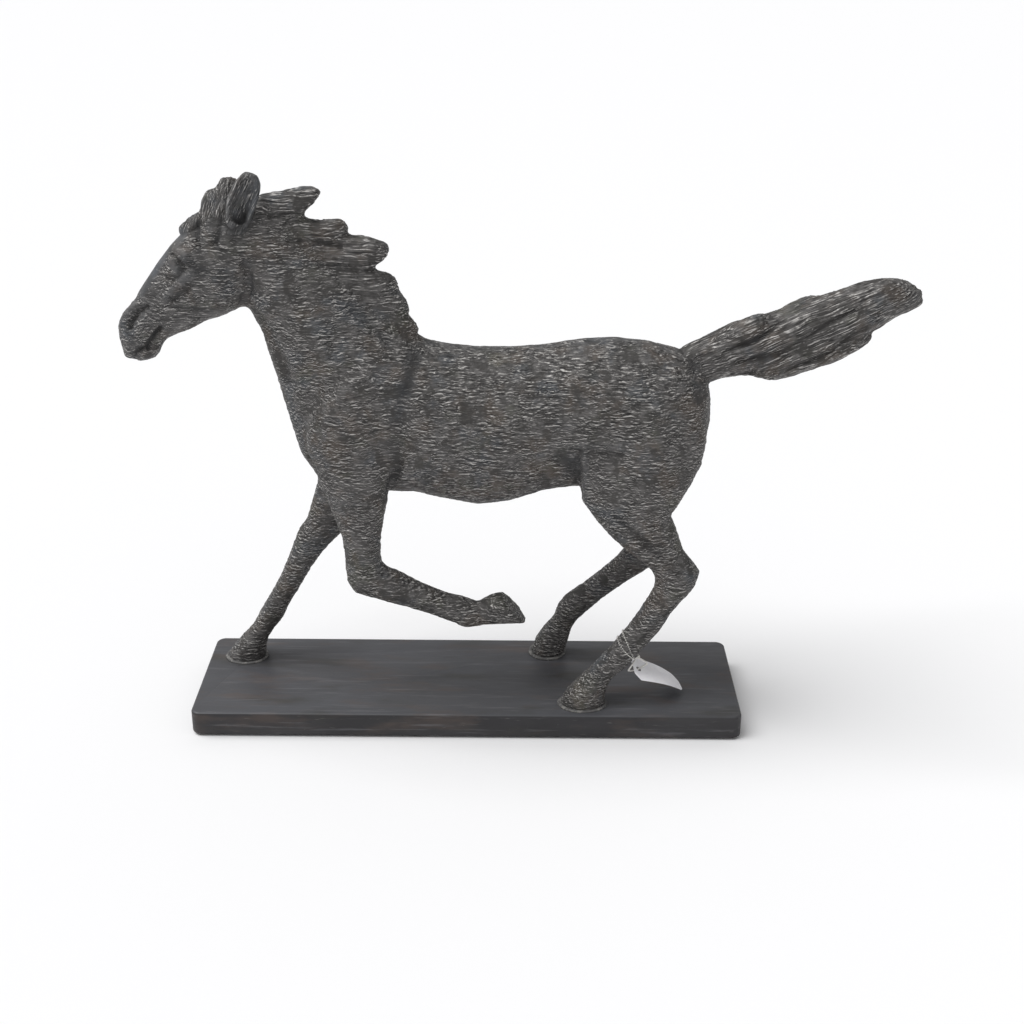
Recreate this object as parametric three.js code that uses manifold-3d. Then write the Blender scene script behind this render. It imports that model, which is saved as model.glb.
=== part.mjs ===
// A cantering horse cast in bronze, standing on a rectangular plinth.
// Millimetres, +Z up, the horse faces -X and its left side faces -Y.
// The origin is the centre of the plinth's underside, on the surface that it stands on.
//
// The horse is cast in sections that meet at weld planes. Each section is a loft: a row of
// stations, and each station is an egg-shaped ring between two points of the side profile.
import * as THREE from "three";
import { mergeVertices } from "three/addons/utils/BufferGeometryUtils.js";
import Module from "manifold-3d";

const wasm = await Module();
wasm.setup();

// ---- Driving dimensions ------------------------------------------------------------------
const HORSE_HEIGHT = 383; // sole to the tip of the higher ear
const PROFILE_HEIGHT = 383; // the same height in the station lists below

const PLINTH_HEIGHT = 18;
const PLINTH_NOSE_MARGIN = 28; // plinth end to the centre of the leading hoof
const PLINTH_TAIL_MARGIN = 116; // centre of the trailing hoof to the other plinth end
const PLINTH_SIDE_MARGIN = 19; // centre of a hind hoof to the plinth's long side
const PLINTH_CORNER = 7;
const PLINTH_EDGE = 1.6; // rounding of the long edges

const FELT_THICKNESS = 1;
const FELT_INSET = 3;

const WALL = 4.5; // the trunk, neck and head are hollow castings, open to each other
const WELD_GAP = 0.3; // between two sections, along the joint
const SEAT_GAP = 0.3; // between a part and what it rests on

const STUD_DIAMETER = 6;
const STUD_IN_HOOF = 8; // length of stud inside the hoof
const STUD_CLEARANCE = 0.35; // around the stud, on the radius
const STUD_BELOW_NUT = 1;
const WASHER_DIAMETER = 14;
const WASHER_THICKNESS = 1.6;
const NUT_ACROSS_FLATS = 10;
const NUT_HEIGHT = 5;
const HARDWARE_GAP = 0.3;
const SOCKET_WALL = 1.5; // room for a socket spanner, between washer and counterbore
const UNDERSIDE_CLEARANCE = 0.8; // from the stud's end to the plinth's underside

const BEAD_WIDTH = 2.2; // the bedding bead round a standing hoof
const BEAD_HEIGHT = 1;
const BEAD_CLEARANCE = 0.7; // between the bead and the hoof

const STRING_DIAMETER = 1.2;
const STRING_CLEARANCE = 0.5; // between the string and the leg
const KNOT_DIAMETER = 3.6;
const TAG_LENGTH = 48;
const TAG_WIDTH = 21;
const TAG_THICKNESS = 0.6;
const TAG_CORNER = 3.5;
const EYELET_DIAMETER = 4.6;
const EYELET_INSET = 5.5; // tag end to the eyelet's centre

const BODY_SIDES = 22; // sides of a ring on the trunk, and below on the thinner parts
const LIMB_SIDES = 14;
const LOCK_SIDES = 9;
const CORE_SIDES = 14;

// ---- Finishes ----------------------------------------------------------------------------
const BRONZE = new THREE.MeshStandardMaterial({ color: 0x58564f, roughness: 0.62, metalness: 0.55 });
const PLINTH_BRONZE = new THREE.MeshStandardMaterial({ color: 0x4b4b4d, roughness: 0.55, metalness: 0.4 });
const STEEL = new THREE.MeshStandardMaterial({ color: 0x9a9b9d, roughness: 0.35, metalness: 1 });
const FELT = new THREE.MeshStandardMaterial({ color: 0x24262a, roughness: 1, metalness: 0 });
const COTTON = new THREE.MeshStandardMaterial({ color: 0xe6e4df, roughness: 0.9, metalness: 0 });
const CARD = new THREE.MeshStandardMaterial({ color: 0xeceaf0, roughness: 0.8, metalness: 0 });

// ---- Stations ----------------------------------------------------------------------------
// [upper or front x, z, lower or rear x, z, half width across the horse, y of the middle, egg]
// z is above the plinth's top. The egg value widens the ring at its second point.

// The trunk runs from the rump to the weld at the base of the neck.
const TRUNK = [
  [169, 228, 169.5, 206, 9, 0, 0],
  [166, 243, 165.5, 186, 22, 0, 0],
  [159, 253, 156, 172, 30, 0, 0],
  [145, 260, 143, 164, 35, 0, 0.02],
  [124, 265, 118, 158, 37.5, 0, 0.05],
  [100, 267.5, 98, 155, 38.5, 0, 0.08],
  [79, 266, 77, 160, 37.5, 0, 0.1],
  [55, 262, 54, 156.5, 37.5, 0, 0.1],
  [30, 260, 30, 148, 39, 0, 0.1],
  [5, 260, 8, 145, 39, 0, 0.1],
  [-15, 262, -16, 149, 37.5, 0, 0.08],
  [-29, 265, -39, 154, 35.5, 0, 0.06],
  [-37, 271, -62, 153.5, 33.5, 0, 0.04],
  [-42, 276, -85, 155, 31.5, 0, 0.02],
  [-46, 281, -106.5, 162, 29, 0, 0],
  [-50, 285, -118.5, 181, 27, 0, 0],
  [-53, 288.5, -125, 206, 25.5, 0, 0.05],
  [-58, 293, -132.5, 237, 23, 0, 0.15],
];

const NECK = [
  [-58, 293, -132.5, 237, 23, 0, 0.15],
  [-65, 301, -137.5, 256, 21, 0, 0.18],
  [-75, 312, -141.5, 272, 19, 0, 0.18],
  [-87, 325, -147, 283.5, 17.5, 0, 0.15],
  [-101, 339, -150.5, 288.5, 16.5, 0, 0.1],
  [-117, 353, -152.5, 288.5, 16, 0, 0.05],
  [-131, 362, -155, 288.5, 15.5, 0, 0],
];

const HEAD = [
  [-131, 362, -155, 288.5, 15.5, 0, 0],
  [-147, 362, -157, 287, 17.5, 0, 0.02],
  [-163, 358, -161.5, 284.8, 18.6, 0, 0.02],
  [-176.5, 350.5, -168.5, 281.5, 18.6, 0, 0],
  [-188, 341, -178.5, 278.8, 17.8, 0, -0.06],
  [-198, 331.5, -188.5, 273.3, 15.6, 0, -0.1],
  [-208.3, 319, -196.5, 269.8, 13.2, 0, -0.08],
  [-218, 305.5, -203.5, 267.5, 11.6, 0, 0],
  [-227.3, 292.5, -208.5, 264.5, 10.8, 0, 0.04],
  [-236, 283.5, -211.5, 260.5, 11.2, 0, 0.04],
  [-240.3, 275, -213.5, 255.5, 11.4, 0, 0],
  [-240, 265, -217, 251.5, 10.4, 0, 0],
  [-238.5, 256.5, -223, 250, 8.4, 0, 0],
  [-235.5, 252, -228, 249.5, 4.4, 0, 0],
];

// Muscle over the shoulder blade and the upper arm; it is cast with the trunk.
const SHOULDER = [
  [-84, 252, -52, 256, 8, 16, 0],
  [-100, 236, -48, 238, 13, 19, 0],
  [-111, 214, -47, 210, 15.5, 20, 0],
  [-112, 192, -50, 184, 15.5, 20.5, 0],
];
const LEFT_SHOULDER_END = [-99, 154, -57, 151, 12.8, 22, 0];
const RIGHT_SHOULDER_END = [-110.5, 152.5, -74, 143, 12.8, 20, 0];
const RIGHT_SHOULDER_REACH = 6; // the right shoulder lies this much further forward

// Muscle over the hip, thigh and stifle; it is cast with the trunk.
const HAUNCH = [
  [98, 244, 152, 248, 9, 18, 0],
  [86, 222, 162, 227, 16, 21, 0],
  [79.5, 198, 166.8, 203, 17.5, 23.5, 0],
  [77.5, 176.5, 163.5, 184, 17, 25.5, 0],
  [80.5, 157.5, 154.5, 165.5, 15.8, 27.5, 0],
];
const HAUNCH_END = [91, 143, 143.5, 147, 14.6, 29, 0];

// Legs, from the weld down to the sole. The middle's y is given for the left side, as a
// distance from the horse's middle plane.
const LEFT_FORELEG = [
  LEFT_SHOULDER_END,
  [-94, 139.5, -60, 138, 11.6, 22.3, 0],
  [-89.5, 126, -62, 125, 10.4, 22.8, 0],
  [-88, 112, -62.5, 113.5, 9.8, 23.2, 0],
  [-87.5, 100, -62, 107.5, 10.2, 23.5, 0],
  [-86.5, 90.5, -60.5, 104.5, 10.6, 23.7, 0],
  [-82, 83.2, -57, 102, 10.4, 24, 0],
  [-73, 80, -50, 98.8, 9.7, 24, 0],
  [-60, 76, -40, 93, 9, 24, 0],
  [-44, 71.5, -28, 86.8, 8.4, 24, 0],
  [-28, 66, -16, 81.5, 8.2, 24, 0],
  [-12, 59.8, -5, 79, 8.8, 24, 0],
  [-2, 55, 1.5, 76.5, 9.2, 24, 0],
  [6, 56.3, 7, 74, 8.4, 24, 0],
  [14, 57.6, 12, 77, 9.4, 24, 0],
  [27, 58.4, 17.5, 80.2, 11, 24, 0],
  [43.5, 59, 23.5, 82, 12, 24, 0],
];

const RIGHT_FORELEG = [
  RIGHT_SHOULDER_END,
  [-115.8, 134.5, -86.5, 126, 11.6, 20.6, 0],
  [-120.5, 120, -94.5, 110.5, 10.6, 21.4, 0],
  [-126.5, 112, -104, 100.5, 10.2, 22.2, 0],
  [-131.5, 99.5, -111.5, 91.5, 10.4, 23, 0],
  [-137, 85, -119.5, 79.5, 9.2, 24, 0],
  [-144.5, 68, -128.5, 63.5, 8.4, 25, 0],
  [-153, 53, -137, 49.5, 8.4, 26, 0],
  [-161, 39.5, -144, 34.5, 9, 27, 0],
  [-165.5, 30, -150.5, 26.5, 8.8, 27.7, 0],
  [-171, 23, -155.5, 18.5, 8.8, 28.3, 0],
  [-178, 15.5, -157.5, 12.5, 10, 28.8, 0],
  [-184, 8, -158.5, 7, 11.4, 29, 0],
  [-188, 0, -159, 0, 12.4, 29, 0],
];

const LEFT_HIND_LEG = [
  HAUNCH_END,
  [101, 132, 147.5, 138, 13.4, 30, 0],
  [110, 123.5, 151, 128, 12.6, 30.8, 0],
  [122, 114.5, 153.5, 120.5, 11.6, 31.4, 0],
  [131, 107, 159, 114, 11.2, 32, 0],
  [134.5, 100, 166, 105, 11.4, 32.5, 0],
  [133.5, 92, 162.5, 93.8, 11.2, 33, 0],
  [129.5, 83, 155.5, 85.3, 10.2, 33.7, 0],
  [123, 72, 147.5, 74.8, 9.4, 34.5, 0],
  [115.5, 61, 140.5, 62, 8.9, 35.3, 0],
  [108.5, 51, 132.5, 51.5, 8.7, 36, 0],
  [101, 41.5, 124.5, 41.5, 8.9, 36.8, 0],
  [93, 32.5, 116, 31, 9.3, 37.4, 0],
  [85.5, 24, 106.5, 23, 9.2, 38, 0],
  [77.5, 16, 102.5, 15.5, 10.2, 38.5, 0],
  [71, 8.5, 101, 8, 11.6, 39, 0],
  [68, 0, 100.5, 0, 12.6, 39, 0],
];

const RIGHT_HIND_LEG = [
  HAUNCH_END,
  [102, 130, 144, 136.5, 13.4, 29.8, 0],
  [110.5, 118, 147.5, 125, 12.4, 30.4, 0],
  [116.5, 108, 152.5, 112.5, 11.8, 31, 0],
  [119, 99, 154, 101, 11.6, 31.8, 0],
  [115.5, 90.5, 148, 86.5, 11, 33, 0],
  [109.3, 82.2, 134, 75.8, 10, 34, 0],
  [98, 70.8, 115.5, 61.8, 9, 35.2, 0],
  [86.8, 60.6, 102.8, 50.6, 8.6, 36.3, 0],
  [75, 51.5, 91.5, 39.5, 8.8, 37.2, 0],
  [67.8, 42, 83, 30.5, 9.3, 37.8, 0],
  [64.5, 31, 78.5, 24, 9, 38.2, 0],
  [57, 22, 77.3, 17, 9.8, 38.6, 0],
  [51, 12, 75.5, 9.5, 11.2, 39, 0],
  [47.5, 0, 72, 0, 12.4, 39, 0],
];

// Hair. The tail is a main lock with shorter locks lying against it.
const TAIL_LOCKS = [
  [
    [146, 259, 158, 231, 9, 0, 0],
    [156, 264.5, 166, 235, 11.5, 0, 0],
    [168, 271, 174, 239, 14, 0, 0],
    [182, 279, 187, 242, 16.5, 0, 0],
    [198, 283.5, 204, 243, 18, 0, 0],
    [216, 289, 223, 244.5, 18.5, 0, 0],
    [234, 296, 243, 251.5, 18, 0, 0],
    [252, 302, 262, 261.5, 16.5, 0, 0],
    [270, 308.5, 280, 275, 14.5, 0, 0],
    [286, 311.5, 294, 284.5, 12, 0, 0],
    [299, 309.5, 304, 289.5, 8.5, 0, 0],
    [308.5, 302, 311, 294, 4, 0, 0],
  ],
  [
    [192, 268, 188, 246, 10, -5, 0],
    [214, 268, 212, 241, 12, -7, 0],
    [238, 272, 238, 248.5, 11, -7, 0],
    [258, 276, 261, 257.5, 8.5, -6, 0],
    [271, 276, 274, 266.5, 5.5, -4, 0],
    [277, 273.5, 278, 270, 2.5, -3, 0],
  ],
  [
    [170, 272, 178, 250, 8, -4, 0],
    [184, 280.5, 190, 261, 9, -6, 0],
    [197, 286.5, 203, 270, 8, -6, 0],
    [206, 286, 209, 277.5, 4, -3, 0],
  ],
  [
    [204, 280, 212, 258, 9, 5, 0],
    [221, 290.5, 227, 270.5, 9.5, 6, 0],
    [236, 297, 241, 280.5, 7, 4, 0],
    [245, 298, 248, 290.5, 3.5, 2, 0],
  ],
];

// The mane flies back from the crest in blunt-ended locks, from the poll to the withers.
const MANE_LOCKS = [
  [
    [-139, 365, -131, 340, 7, 0, 0.2],
    [-123, 367, -117, 346, 7, 0, 0.2],
    [-108, 370.5, -108, 354, 5.5, 0, 0],
    [-100.5, 369.5, -102, 360, 4, 0, 0],
    [-97.8, 367, -98.6, 364.5, 2, 0, 0],
  ],
  [
    [-122, 356, -116, 330, 9, 0, 0.2],
    [-104, 348.5, -98, 328, 8.5, 0, 0.2],
    [-93, 348.5, -88, 331, 7, 0, 0],
    [-86, 349, -81, 339, 5, 0, 0],
    [-82.5, 347, -80.3, 342.5, 2.4, 0, 0],
  ],
  [
    [-104, 341, -98, 312, 10, 0, 0.2],
    [-84, 338.5, -80, 313, 9, 0, 0.2],
    [-69, 337.5, -67, 315.5, 7.5, 0, 0],
    [-58, 334, -58, 320, 5.5, 0, 0],
    [-53, 331.5, -54, 325.5, 2.6, 0, 0],
  ],
  [
    [-88, 324, -82, 296, 10.5, 0, 0.2],
    [-68, 316, -61, 296, 9, 0, 0.2],
    [-56, 312.5, -50, 298, 6.5, 0, 0],
    [-50.5, 310, -47.3, 301, 3.4, 0, 0],
  ],
  [
    [-76, 306, -68, 280, 11.5, 0, 0.2],
    [-55, 302, -48, 280, 9, 0, 0.2],
    [-46, 298, -41.5, 284, 6, 0, 0],
    [-42.5, 293, -40.2, 286, 3, 0, 0],
  ],
  [
    [-62, 290, -54, 268, 12, 0, 0.2],
    [-46, 286, -40, 268, 9, 0, 0.2],
    [-40, 281, -35.5, 270, 6, 0, 0],
    [-36.5, 276.5, -33.5, 270, 3, 0, 0],
  ],
];

// The forelock stands up between the ears and falls forward over the brow.
const FORELOCK_LOCKS = [
  [
    [-176, 344, -156, 344, 9, 0, 0],
    [-177, 355, -159, 353, 8.5, 0, 0],
    [-175.5, 362, -163, 362, 6.5, 0, 0],
    [-172, 367, -166.5, 367.5, 3, 0, 0],
  ],
  [
    [-168.5, 342, -153, 341, 7, -5, 0],
    [-169, 353, -154, 352, 7.5, -4, 0],
    [-167.8, 362, -153.6, 361.5, 7, -1.5, 0],
    [-166, 369.5, -154.2, 369, 5.8, 1, 0],
    [-162.8, 374.6, -157, 374.6, 3.2, 2, 0],
  ],
  [
    [-166, 358, -166, 340, 8, 0, 0],
    [-178, 353.5, -174, 338, 8.5, 0, 0],
    [-187, 348, -183, 335, 7.5, 0, 0],
    [-193, 342.5, -190, 335, 4, 0, 0],
  ],
];

// Ears, as [front x, z, rear x, z, half width, y, egg] from the root to the tip.
const LEFT_EAR = [
  [-158.5, 342, -147, 342, 5.5, 13, 0],
  [-158.5, 351, -143, 350, 7.5, 14, 0],
  [-157.5, 361, -138.2, 361, 8.4, 15, 0],
  [-154, 370.5, -135.2, 369.2, 7.8, 15.6, 0],
  [-149.5, 377.6, -134.5, 375, 6, 15.8, 0],
  [-144.2, 382.6, -136, 379.8, 3.2, 15.8, 0],
];
const RIGHT_EAR = [
  [-165, 341, -152, 341, 6, 13, 0],
  [-167.5, 352, -152, 350, 7.5, 14, 0],
  [-167, 361.5, -152, 360, 7, 14.5, 0],
  [-165, 369, -153.5, 368, 5, 14.8, 0],
  [-162, 373, -156.5, 372.5, 2.6, 14.8, 0],
];
const EAR_WALL = 2.2; // thickness of the ear behind its cupped face

// ---- Shape helpers -----------------------------------------------------------------------

// A Catmull-Rom blend of four stations, number by number.
function between(a, b, c, d, t) {
  return b.map((value, i) => {
    const bend = 2 * a[i] - 5 * value + 4 * c[i] - d[i];
    const twist = 3 * value - a[i] - 3 * c[i] + d[i];
    return value + 0.5 * t * (c[i] - a[i] + t * (bend + t * twist));
  });
}

// The station at a place along the list: 2.5 is halfway between the third and the fourth.
function stationAt(stations, place) {
  const last = stations.length - 1;
  const i = Math.min(Math.floor(place), last - 1);
  const pick = (k) => stations[Math.min(Math.max(k, 0), last)];
  return between(pick(i - 1), pick(i), pick(i + 1), pick(i + 2), place - i);
}

// A point on a station's ring. Angle 0 is at its first profile point, and out is a distance
// outside the ring.
function ringPoint([x1, z1, x2, z2, half, y, egg], angle, out = 0) {
  const reach = Math.hypot(x1 - x2, z1 - z2) / 2;
  const along = Math.cos(angle) * (1 + out / reach);
  const across = Math.sin(angle) * (half + out) * (1 - egg * Math.cos(angle));
  const mid = [(x1 + x2) / 2, (z1 + z2) / 2];
  return new THREE.Vector3(
    mid[0] + ((x1 - x2) / 2) * along,
    y + across,
    mid[1] + ((z1 - z2) / 2) * along,
  );
}

// A closed body through a list of stations. grow makes it that much larger all round, and
// cutBack moves its first or last ring into the body, to leave a weld gap.
function loft(stations, { sides = LIMB_SIDES, steps = 1, grow = 0, cutBack = [0, 0] } = {}) {
  const count = (stations.length - 1) * steps;
  const rings = [];
  for (let i = 0; i <= count; i++) {
    const station = stationAt(stations, i / steps);
    rings.push(
      Array.from({ length: sides }, (_, k) =>
        ringPoint(station, (2 * Math.PI * k) / sides, grow),
      ),
    );
  }
  const middle = (ring) =>
    ring.reduce((sum, p) => sum.add(p), new THREE.Vector3()).divideScalar(ring.length);
  const slide = (ring, towards, distance) => {
    const step = middle(towards).sub(middle(ring)).setLength(distance);
    ring.forEach((p) => p.add(step));
  };
  if (cutBack[0] - grow) slide(rings[0], rings[1], cutBack[0] - grow);
  if (cutBack[1] - grow) slide(rings[count], rings[count - 1], cutBack[1] - grow);

  const points = rings.flat();
  const faces = [];
  for (let i = 0; i < count; i++) {
    for (let k = 0; k < sides; k++) {
      const a = i * sides + k;
      const b = i * sides + ((k + 1) % sides);
      faces.push([a, b, b + sides], [a, b + sides, a + sides]);
    }
  }
  points.push(middle(rings[0]), middle(rings[count]));
  for (let k = 0; k < sides; k++) {
    const next = (k + 1) % sides;
    faces.push([points.length - 2, next, k]);
    faces.push([points.length - 1, count * sides + k, count * sides + next]);
  }
  const geometry = new THREE.BufferGeometry();
  geometry.setFromPoints(points).setIndex(faces.flat());
  return facingOut(geometry);
}

// The same body with its faces turned to point outwards.
function facingOut(geometry) {
  const index = geometry.index.array;
  const at = geometry.attributes.position;
  const [a, b, c] = [new THREE.Vector3(), new THREE.Vector3(), new THREE.Vector3()];
  let volume = 0;
  for (let i = 0; i < index.length; i += 3) {
    a.fromBufferAttribute(at, index[i]);
    b.fromBufferAttribute(at, index[i + 1]);
    c.fromBufferAttribute(at, index[i + 2]);
    volume += a.dot(b.cross(c));
  }
  if (volume < 0) {
    for (let i = 0; i < index.length; i += 3) {
      [index[i + 1], index[i + 2]] = [index[i + 2], index[i + 1]];
    }
  }
  return geometry;
}

// A geometry as a manifold-3d solid.
function solid(geometry) {
  const bare = geometry.clone();
  bare.deleteAttribute("normal");
  bare.deleteAttribute("uv");
  const merged = mergeVertices(bare, 1e-4);
  return new wasm.Manifold(
    new wasm.Mesh({
      numProp: 3,
      vertProperties: merged.attributes.position.array,
      triVerts: new Uint32Array(merged.index.array),
    }),
  );
}

// A manifold-3d solid as a geometry.
function geometryOf(body) {
  const { numProp, vertProperties, triVerts } = body.getMesh();
  const positions = new Float32Array((vertProperties.length / numProp) * 3);
  for (let i = 0; i < positions.length / 3; i++) {
    positions.set(vertProperties.subarray(i * numProp, i * numProp + 3), i * 3);
  }
  const geometry = new THREE.BufferGeometry();
  geometry.setAttribute("position", new THREE.BufferAttribute(positions, 3));
  geometry.setIndex(new THREE.BufferAttribute(triVerts, 1));
  return geometry;
}

const joined = (bodies) => bodies.reduce((whole, body) => whole.add(body));
const cut = (body, tools) => tools.reduce((left, tool) => left.subtract(tool), body);

// Stations with their middle moved to one side of the horse: -1 is its left and 1 its right.
const onSide = (stations, side) =>
  stations.map(([x1, z1, x2, z2, half, y, egg]) => [x1, z1, x2, z2, half, side * y, egg]);

const LEFT = -1;
const RIGHT = 1;

// ---- The horse, in profile units, z from the plinth's top ---------------------------------

const forward = (stations, reach) =>
  stations.map(([x1, z1, x2, z2, ...rest]) => [x1 - reach, z1, x2 - reach, z2, ...rest]);

function trunkShape(grow, cutBack) {
  const options = { grow, cutBack: [0, cutBack] };
  const rightShoulder = [...forward(SHOULDER, RIGHT_SHOULDER_REACH), RIGHT_SHOULDER_END];
  return joined([
    solid(loft(TRUNK, { ...options, sides: BODY_SIDES })),
    solid(loft(onSide([...SHOULDER, LEFT_SHOULDER_END], LEFT), options)),
    solid(loft(onSide(rightShoulder, RIGHT), options)),
    solid(loft(onSide([...HAUNCH, HAUNCH_END], LEFT), options)),
    solid(loft(onSide([...HAUNCH, HAUNCH_END], RIGHT), options)),
  ]);
}

const neckShape = (grow, cutBack) =>
  solid(loft(NECK, { sides: BODY_SIDES, grow, cutBack: [0, cutBack] }));
const headShape = (grow) => solid(loft(HEAD, { sides: BODY_SIDES, grow }));

// The hollow inside a section, a wall's thickness in. open says which of its ends run out
// through the weld.
function core(stations, open) {
  const past = 1;
  const cutBack = open.map((isOpen) => (isOpen ? -WALL - past : 0));
  return solid(loft(stations, { sides: CORE_SIDES, grow: -WALL, cutBack }));
}

const trunkAround = trunkShape(WELD_GAP, 0);
const neckAround = neckShape(WELD_GAP, 0);
const headAround = headShape(WELD_GAP);

// One leg below its weld, clear of the trunk beside it.
function legBody(stations, side) {
  return solid(loft(onSide(stations, side)));
}

// A group of hair locks cast as one piece and fitted to what it grows from.
function hairBody(locks, roots) {
  const whole = joined(locks.map((lock) => solid(loft(lock, { sides: LOCK_SIDES, steps: 2 }))));
  return cut(whole, roots);
}

// An ear: an outer shell with its face hollowed by a smaller copy moved towards the front side.
function earBody(stations, side, grow = 0) {
  const outer = solid(loft(onSide(stations, side), { sides: LOCK_SIDES, steps: 2, grow }));
  if (grow) return outer;
  const cup = stations
    .slice(1)
    .map(([x1, z1, x2, z2, half, y, egg]) => [
      x1 + EAR_WALL,
      z1,
      x2 - EAR_WALL,
      z2 - EAR_WALL,
      half,
      y + EAR_WALL + half * 0.35,
      egg,
    ]);
  return outer.subtract(solid(loft(onSide(cup, side), { sides: LOCK_SIDES, steps: 2 })));
}

// ---- Placing the horse on the plinth -----------------------------------------------------

const scale = HORSE_HEIGHT / PROFILE_HEIGHT;
const soleOf = (stations, side) => {
  const [x1, , x2, , half, y] = stations.at(-1);
  return {
    x: (scale * (x1 + x2)) / 2,
    y: side * scale * y,
    length: scale * Math.abs(x1 - x2),
    width: 2 * scale * half,
  };
};
const SOLES = {
  right_fore: soleOf(RIGHT_FORELEG, RIGHT),
  left_hind: soleOf(LEFT_HIND_LEG, LEFT),
  right_hind: soleOf(RIGHT_HIND_LEG, RIGHT),
};
const frontX = SOLES.right_fore.x - PLINTH_NOSE_MARGIN;
const rearX = SOLES.left_hind.x + PLINTH_TAIL_MARGIN;
const plinthLength = rearX - frontX;
const plinthWidth = SOLES.right_hind.y - SOLES.left_hind.y + 2 * PLINTH_SIDE_MARGIN;
const plinthBottom = FELT_THICKNESS + SEAT_GAP;
const plinthTop = plinthBottom + PLINTH_HEIGHT;
const horseX = -(frontX + rearX) / 2;
const horseZ = plinthTop + SEAT_GAP;

// A horse-frame body scaled to its real size and set on the plinth.
const placed = (body) => body.scale(scale).translate([horseX, 0, horseZ]);

// ---- Plinth and underlay -----------------------------------------------------------------

function roundedRectangle(length, width, radius) {
  const shape = new THREE.Shape();
  const [x, y] = [length / 2 - radius, width / 2 - radius];
  shape.absarc(x, y, radius, 0, Math.PI / 2);
  shape.absarc(-x, y, radius, Math.PI / 2, Math.PI);
  shape.absarc(-x, -y, radius, Math.PI, 1.5 * Math.PI);
  shape.absarc(x, -y, radius, 1.5 * Math.PI, 2 * Math.PI);
  return shape;
}

// A solid of revolution about a vertical axis, from a closed list of [radius, z].
function turned(profile, segments = 24) {
  const points = [...profile, profile[0]].map(([r, z]) => new THREE.Vector2(r, z));
  return new THREE.LatheGeometry(points, segments).rotateX(Math.PI / 2);
}

const boreRadius = STUD_DIAMETER / 2 + STUD_CLEARANCE;
const counterboreRadius = WASHER_DIAMETER / 2 + SOCKET_WALL;

// Heights of the fixing hardware, from the plinth's underside up to the counterbore's roof.
const studFoot = plinthBottom + UNDERSIDE_CLEARANCE;
const nutBottom = studFoot + STUD_BELOW_NUT;
const washerBottom = nutBottom + NUT_HEIGHT + HARDWARE_GAP;
const washerTop = washerBottom + WASHER_THICKNESS;
const counterboreRoof = washerTop + HARDWARE_GAP;
const studTip = horseZ + STUD_IN_HOOF;

function plinthBody() {
  const slab = new THREE.ExtrudeGeometry(
    roundedRectangle(
      plinthLength - 2 * PLINTH_EDGE,
      plinthWidth - 2 * PLINTH_EDGE,
      PLINTH_CORNER - PLINTH_EDGE,
    ),
    {
      depth: PLINTH_HEIGHT - 2 * PLINTH_EDGE,
      bevelSize: PLINTH_EDGE,
      bevelThickness: PLINTH_EDGE,
      bevelSegments: 3,
      curveSegments: 5,
    },
  ).translate(0, 0, plinthBottom + PLINTH_EDGE);
  const over = 1; // the cutter runs past both faces
  const holes = Object.values(SOLES).map((sole) =>
    solid(
      turned([
        [0, plinthBottom - over],
        [counterboreRadius, plinthBottom - over],
        [counterboreRadius, counterboreRoof],
        [boreRadius, counterboreRoof],
        [boreRadius, plinthTop + over],
        [0, plinthTop + over],
      ]),
    ).translate([horseX + sole.x, sole.y, 0]),
  );
  return cut(solid(slab), holes);
}

function feltGeometry() {
  const inset = 2 * FELT_INSET;
  return new THREE.ExtrudeGeometry(
    roundedRectangle(plinthLength - inset, plinthWidth - inset, PLINTH_CORNER - FELT_INSET),
    { depth: FELT_THICKNESS, bevelEnabled: false, curveSegments: 4 },
  );
}

// ---- Fixing hardware, one set under each standing hoof -------------------------------------

function studGeometry() {
  const radius = STUD_DIAMETER / 2;
  const chamfer = 0.8;
  return turned(
    [
      [0, studFoot],
      [radius - chamfer, studFoot],
      [radius, studFoot + chamfer],
      [radius, studTip - chamfer],
      [radius - chamfer, studTip],
      [0, studTip],
    ],
    16,
  );
}

function washerGeometry() {
  return turned([
    [boreRadius, washerBottom],
    [WASHER_DIAMETER / 2, washerBottom],
    [WASHER_DIAMETER / 2, washerTop],
    [boreRadius, washerTop],
  ]);
}

function nutGeometry() {
  const outline = new THREE.Shape();
  const corner = NUT_ACROSS_FLATS / Math.sqrt(3);
  for (let i = 0; i < 6; i++) {
    const angle = (i * Math.PI) / 3;
    outline[i ? "lineTo" : "moveTo"](corner * Math.cos(angle), corner * Math.sin(angle));
  }
  outline.holes.push(new THREE.Path().absarc(0, 0, boreRadius, 0, 2 * Math.PI, true));
  return new THREE.ExtrudeGeometry(outline, {
    depth: NUT_HEIGHT,
    bevelEnabled: false,
    curveSegments: 10,
  }).translate(0, 0, nutBottom);
}

// The hole for the stud, from the sole up into the hoof.
const hoofBore = (sole) =>
  solid(
    turned(
      [
        [0, horseZ - 1],
        [boreRadius, horseZ - 1],
        [boreRadius, studTip + HARDWARE_GAP],
        [0, studTip + HARDWARE_GAP],
      ],
      16,
    ),
  ).translate([horseX + sole.x, sole.y, 0]);

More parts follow.
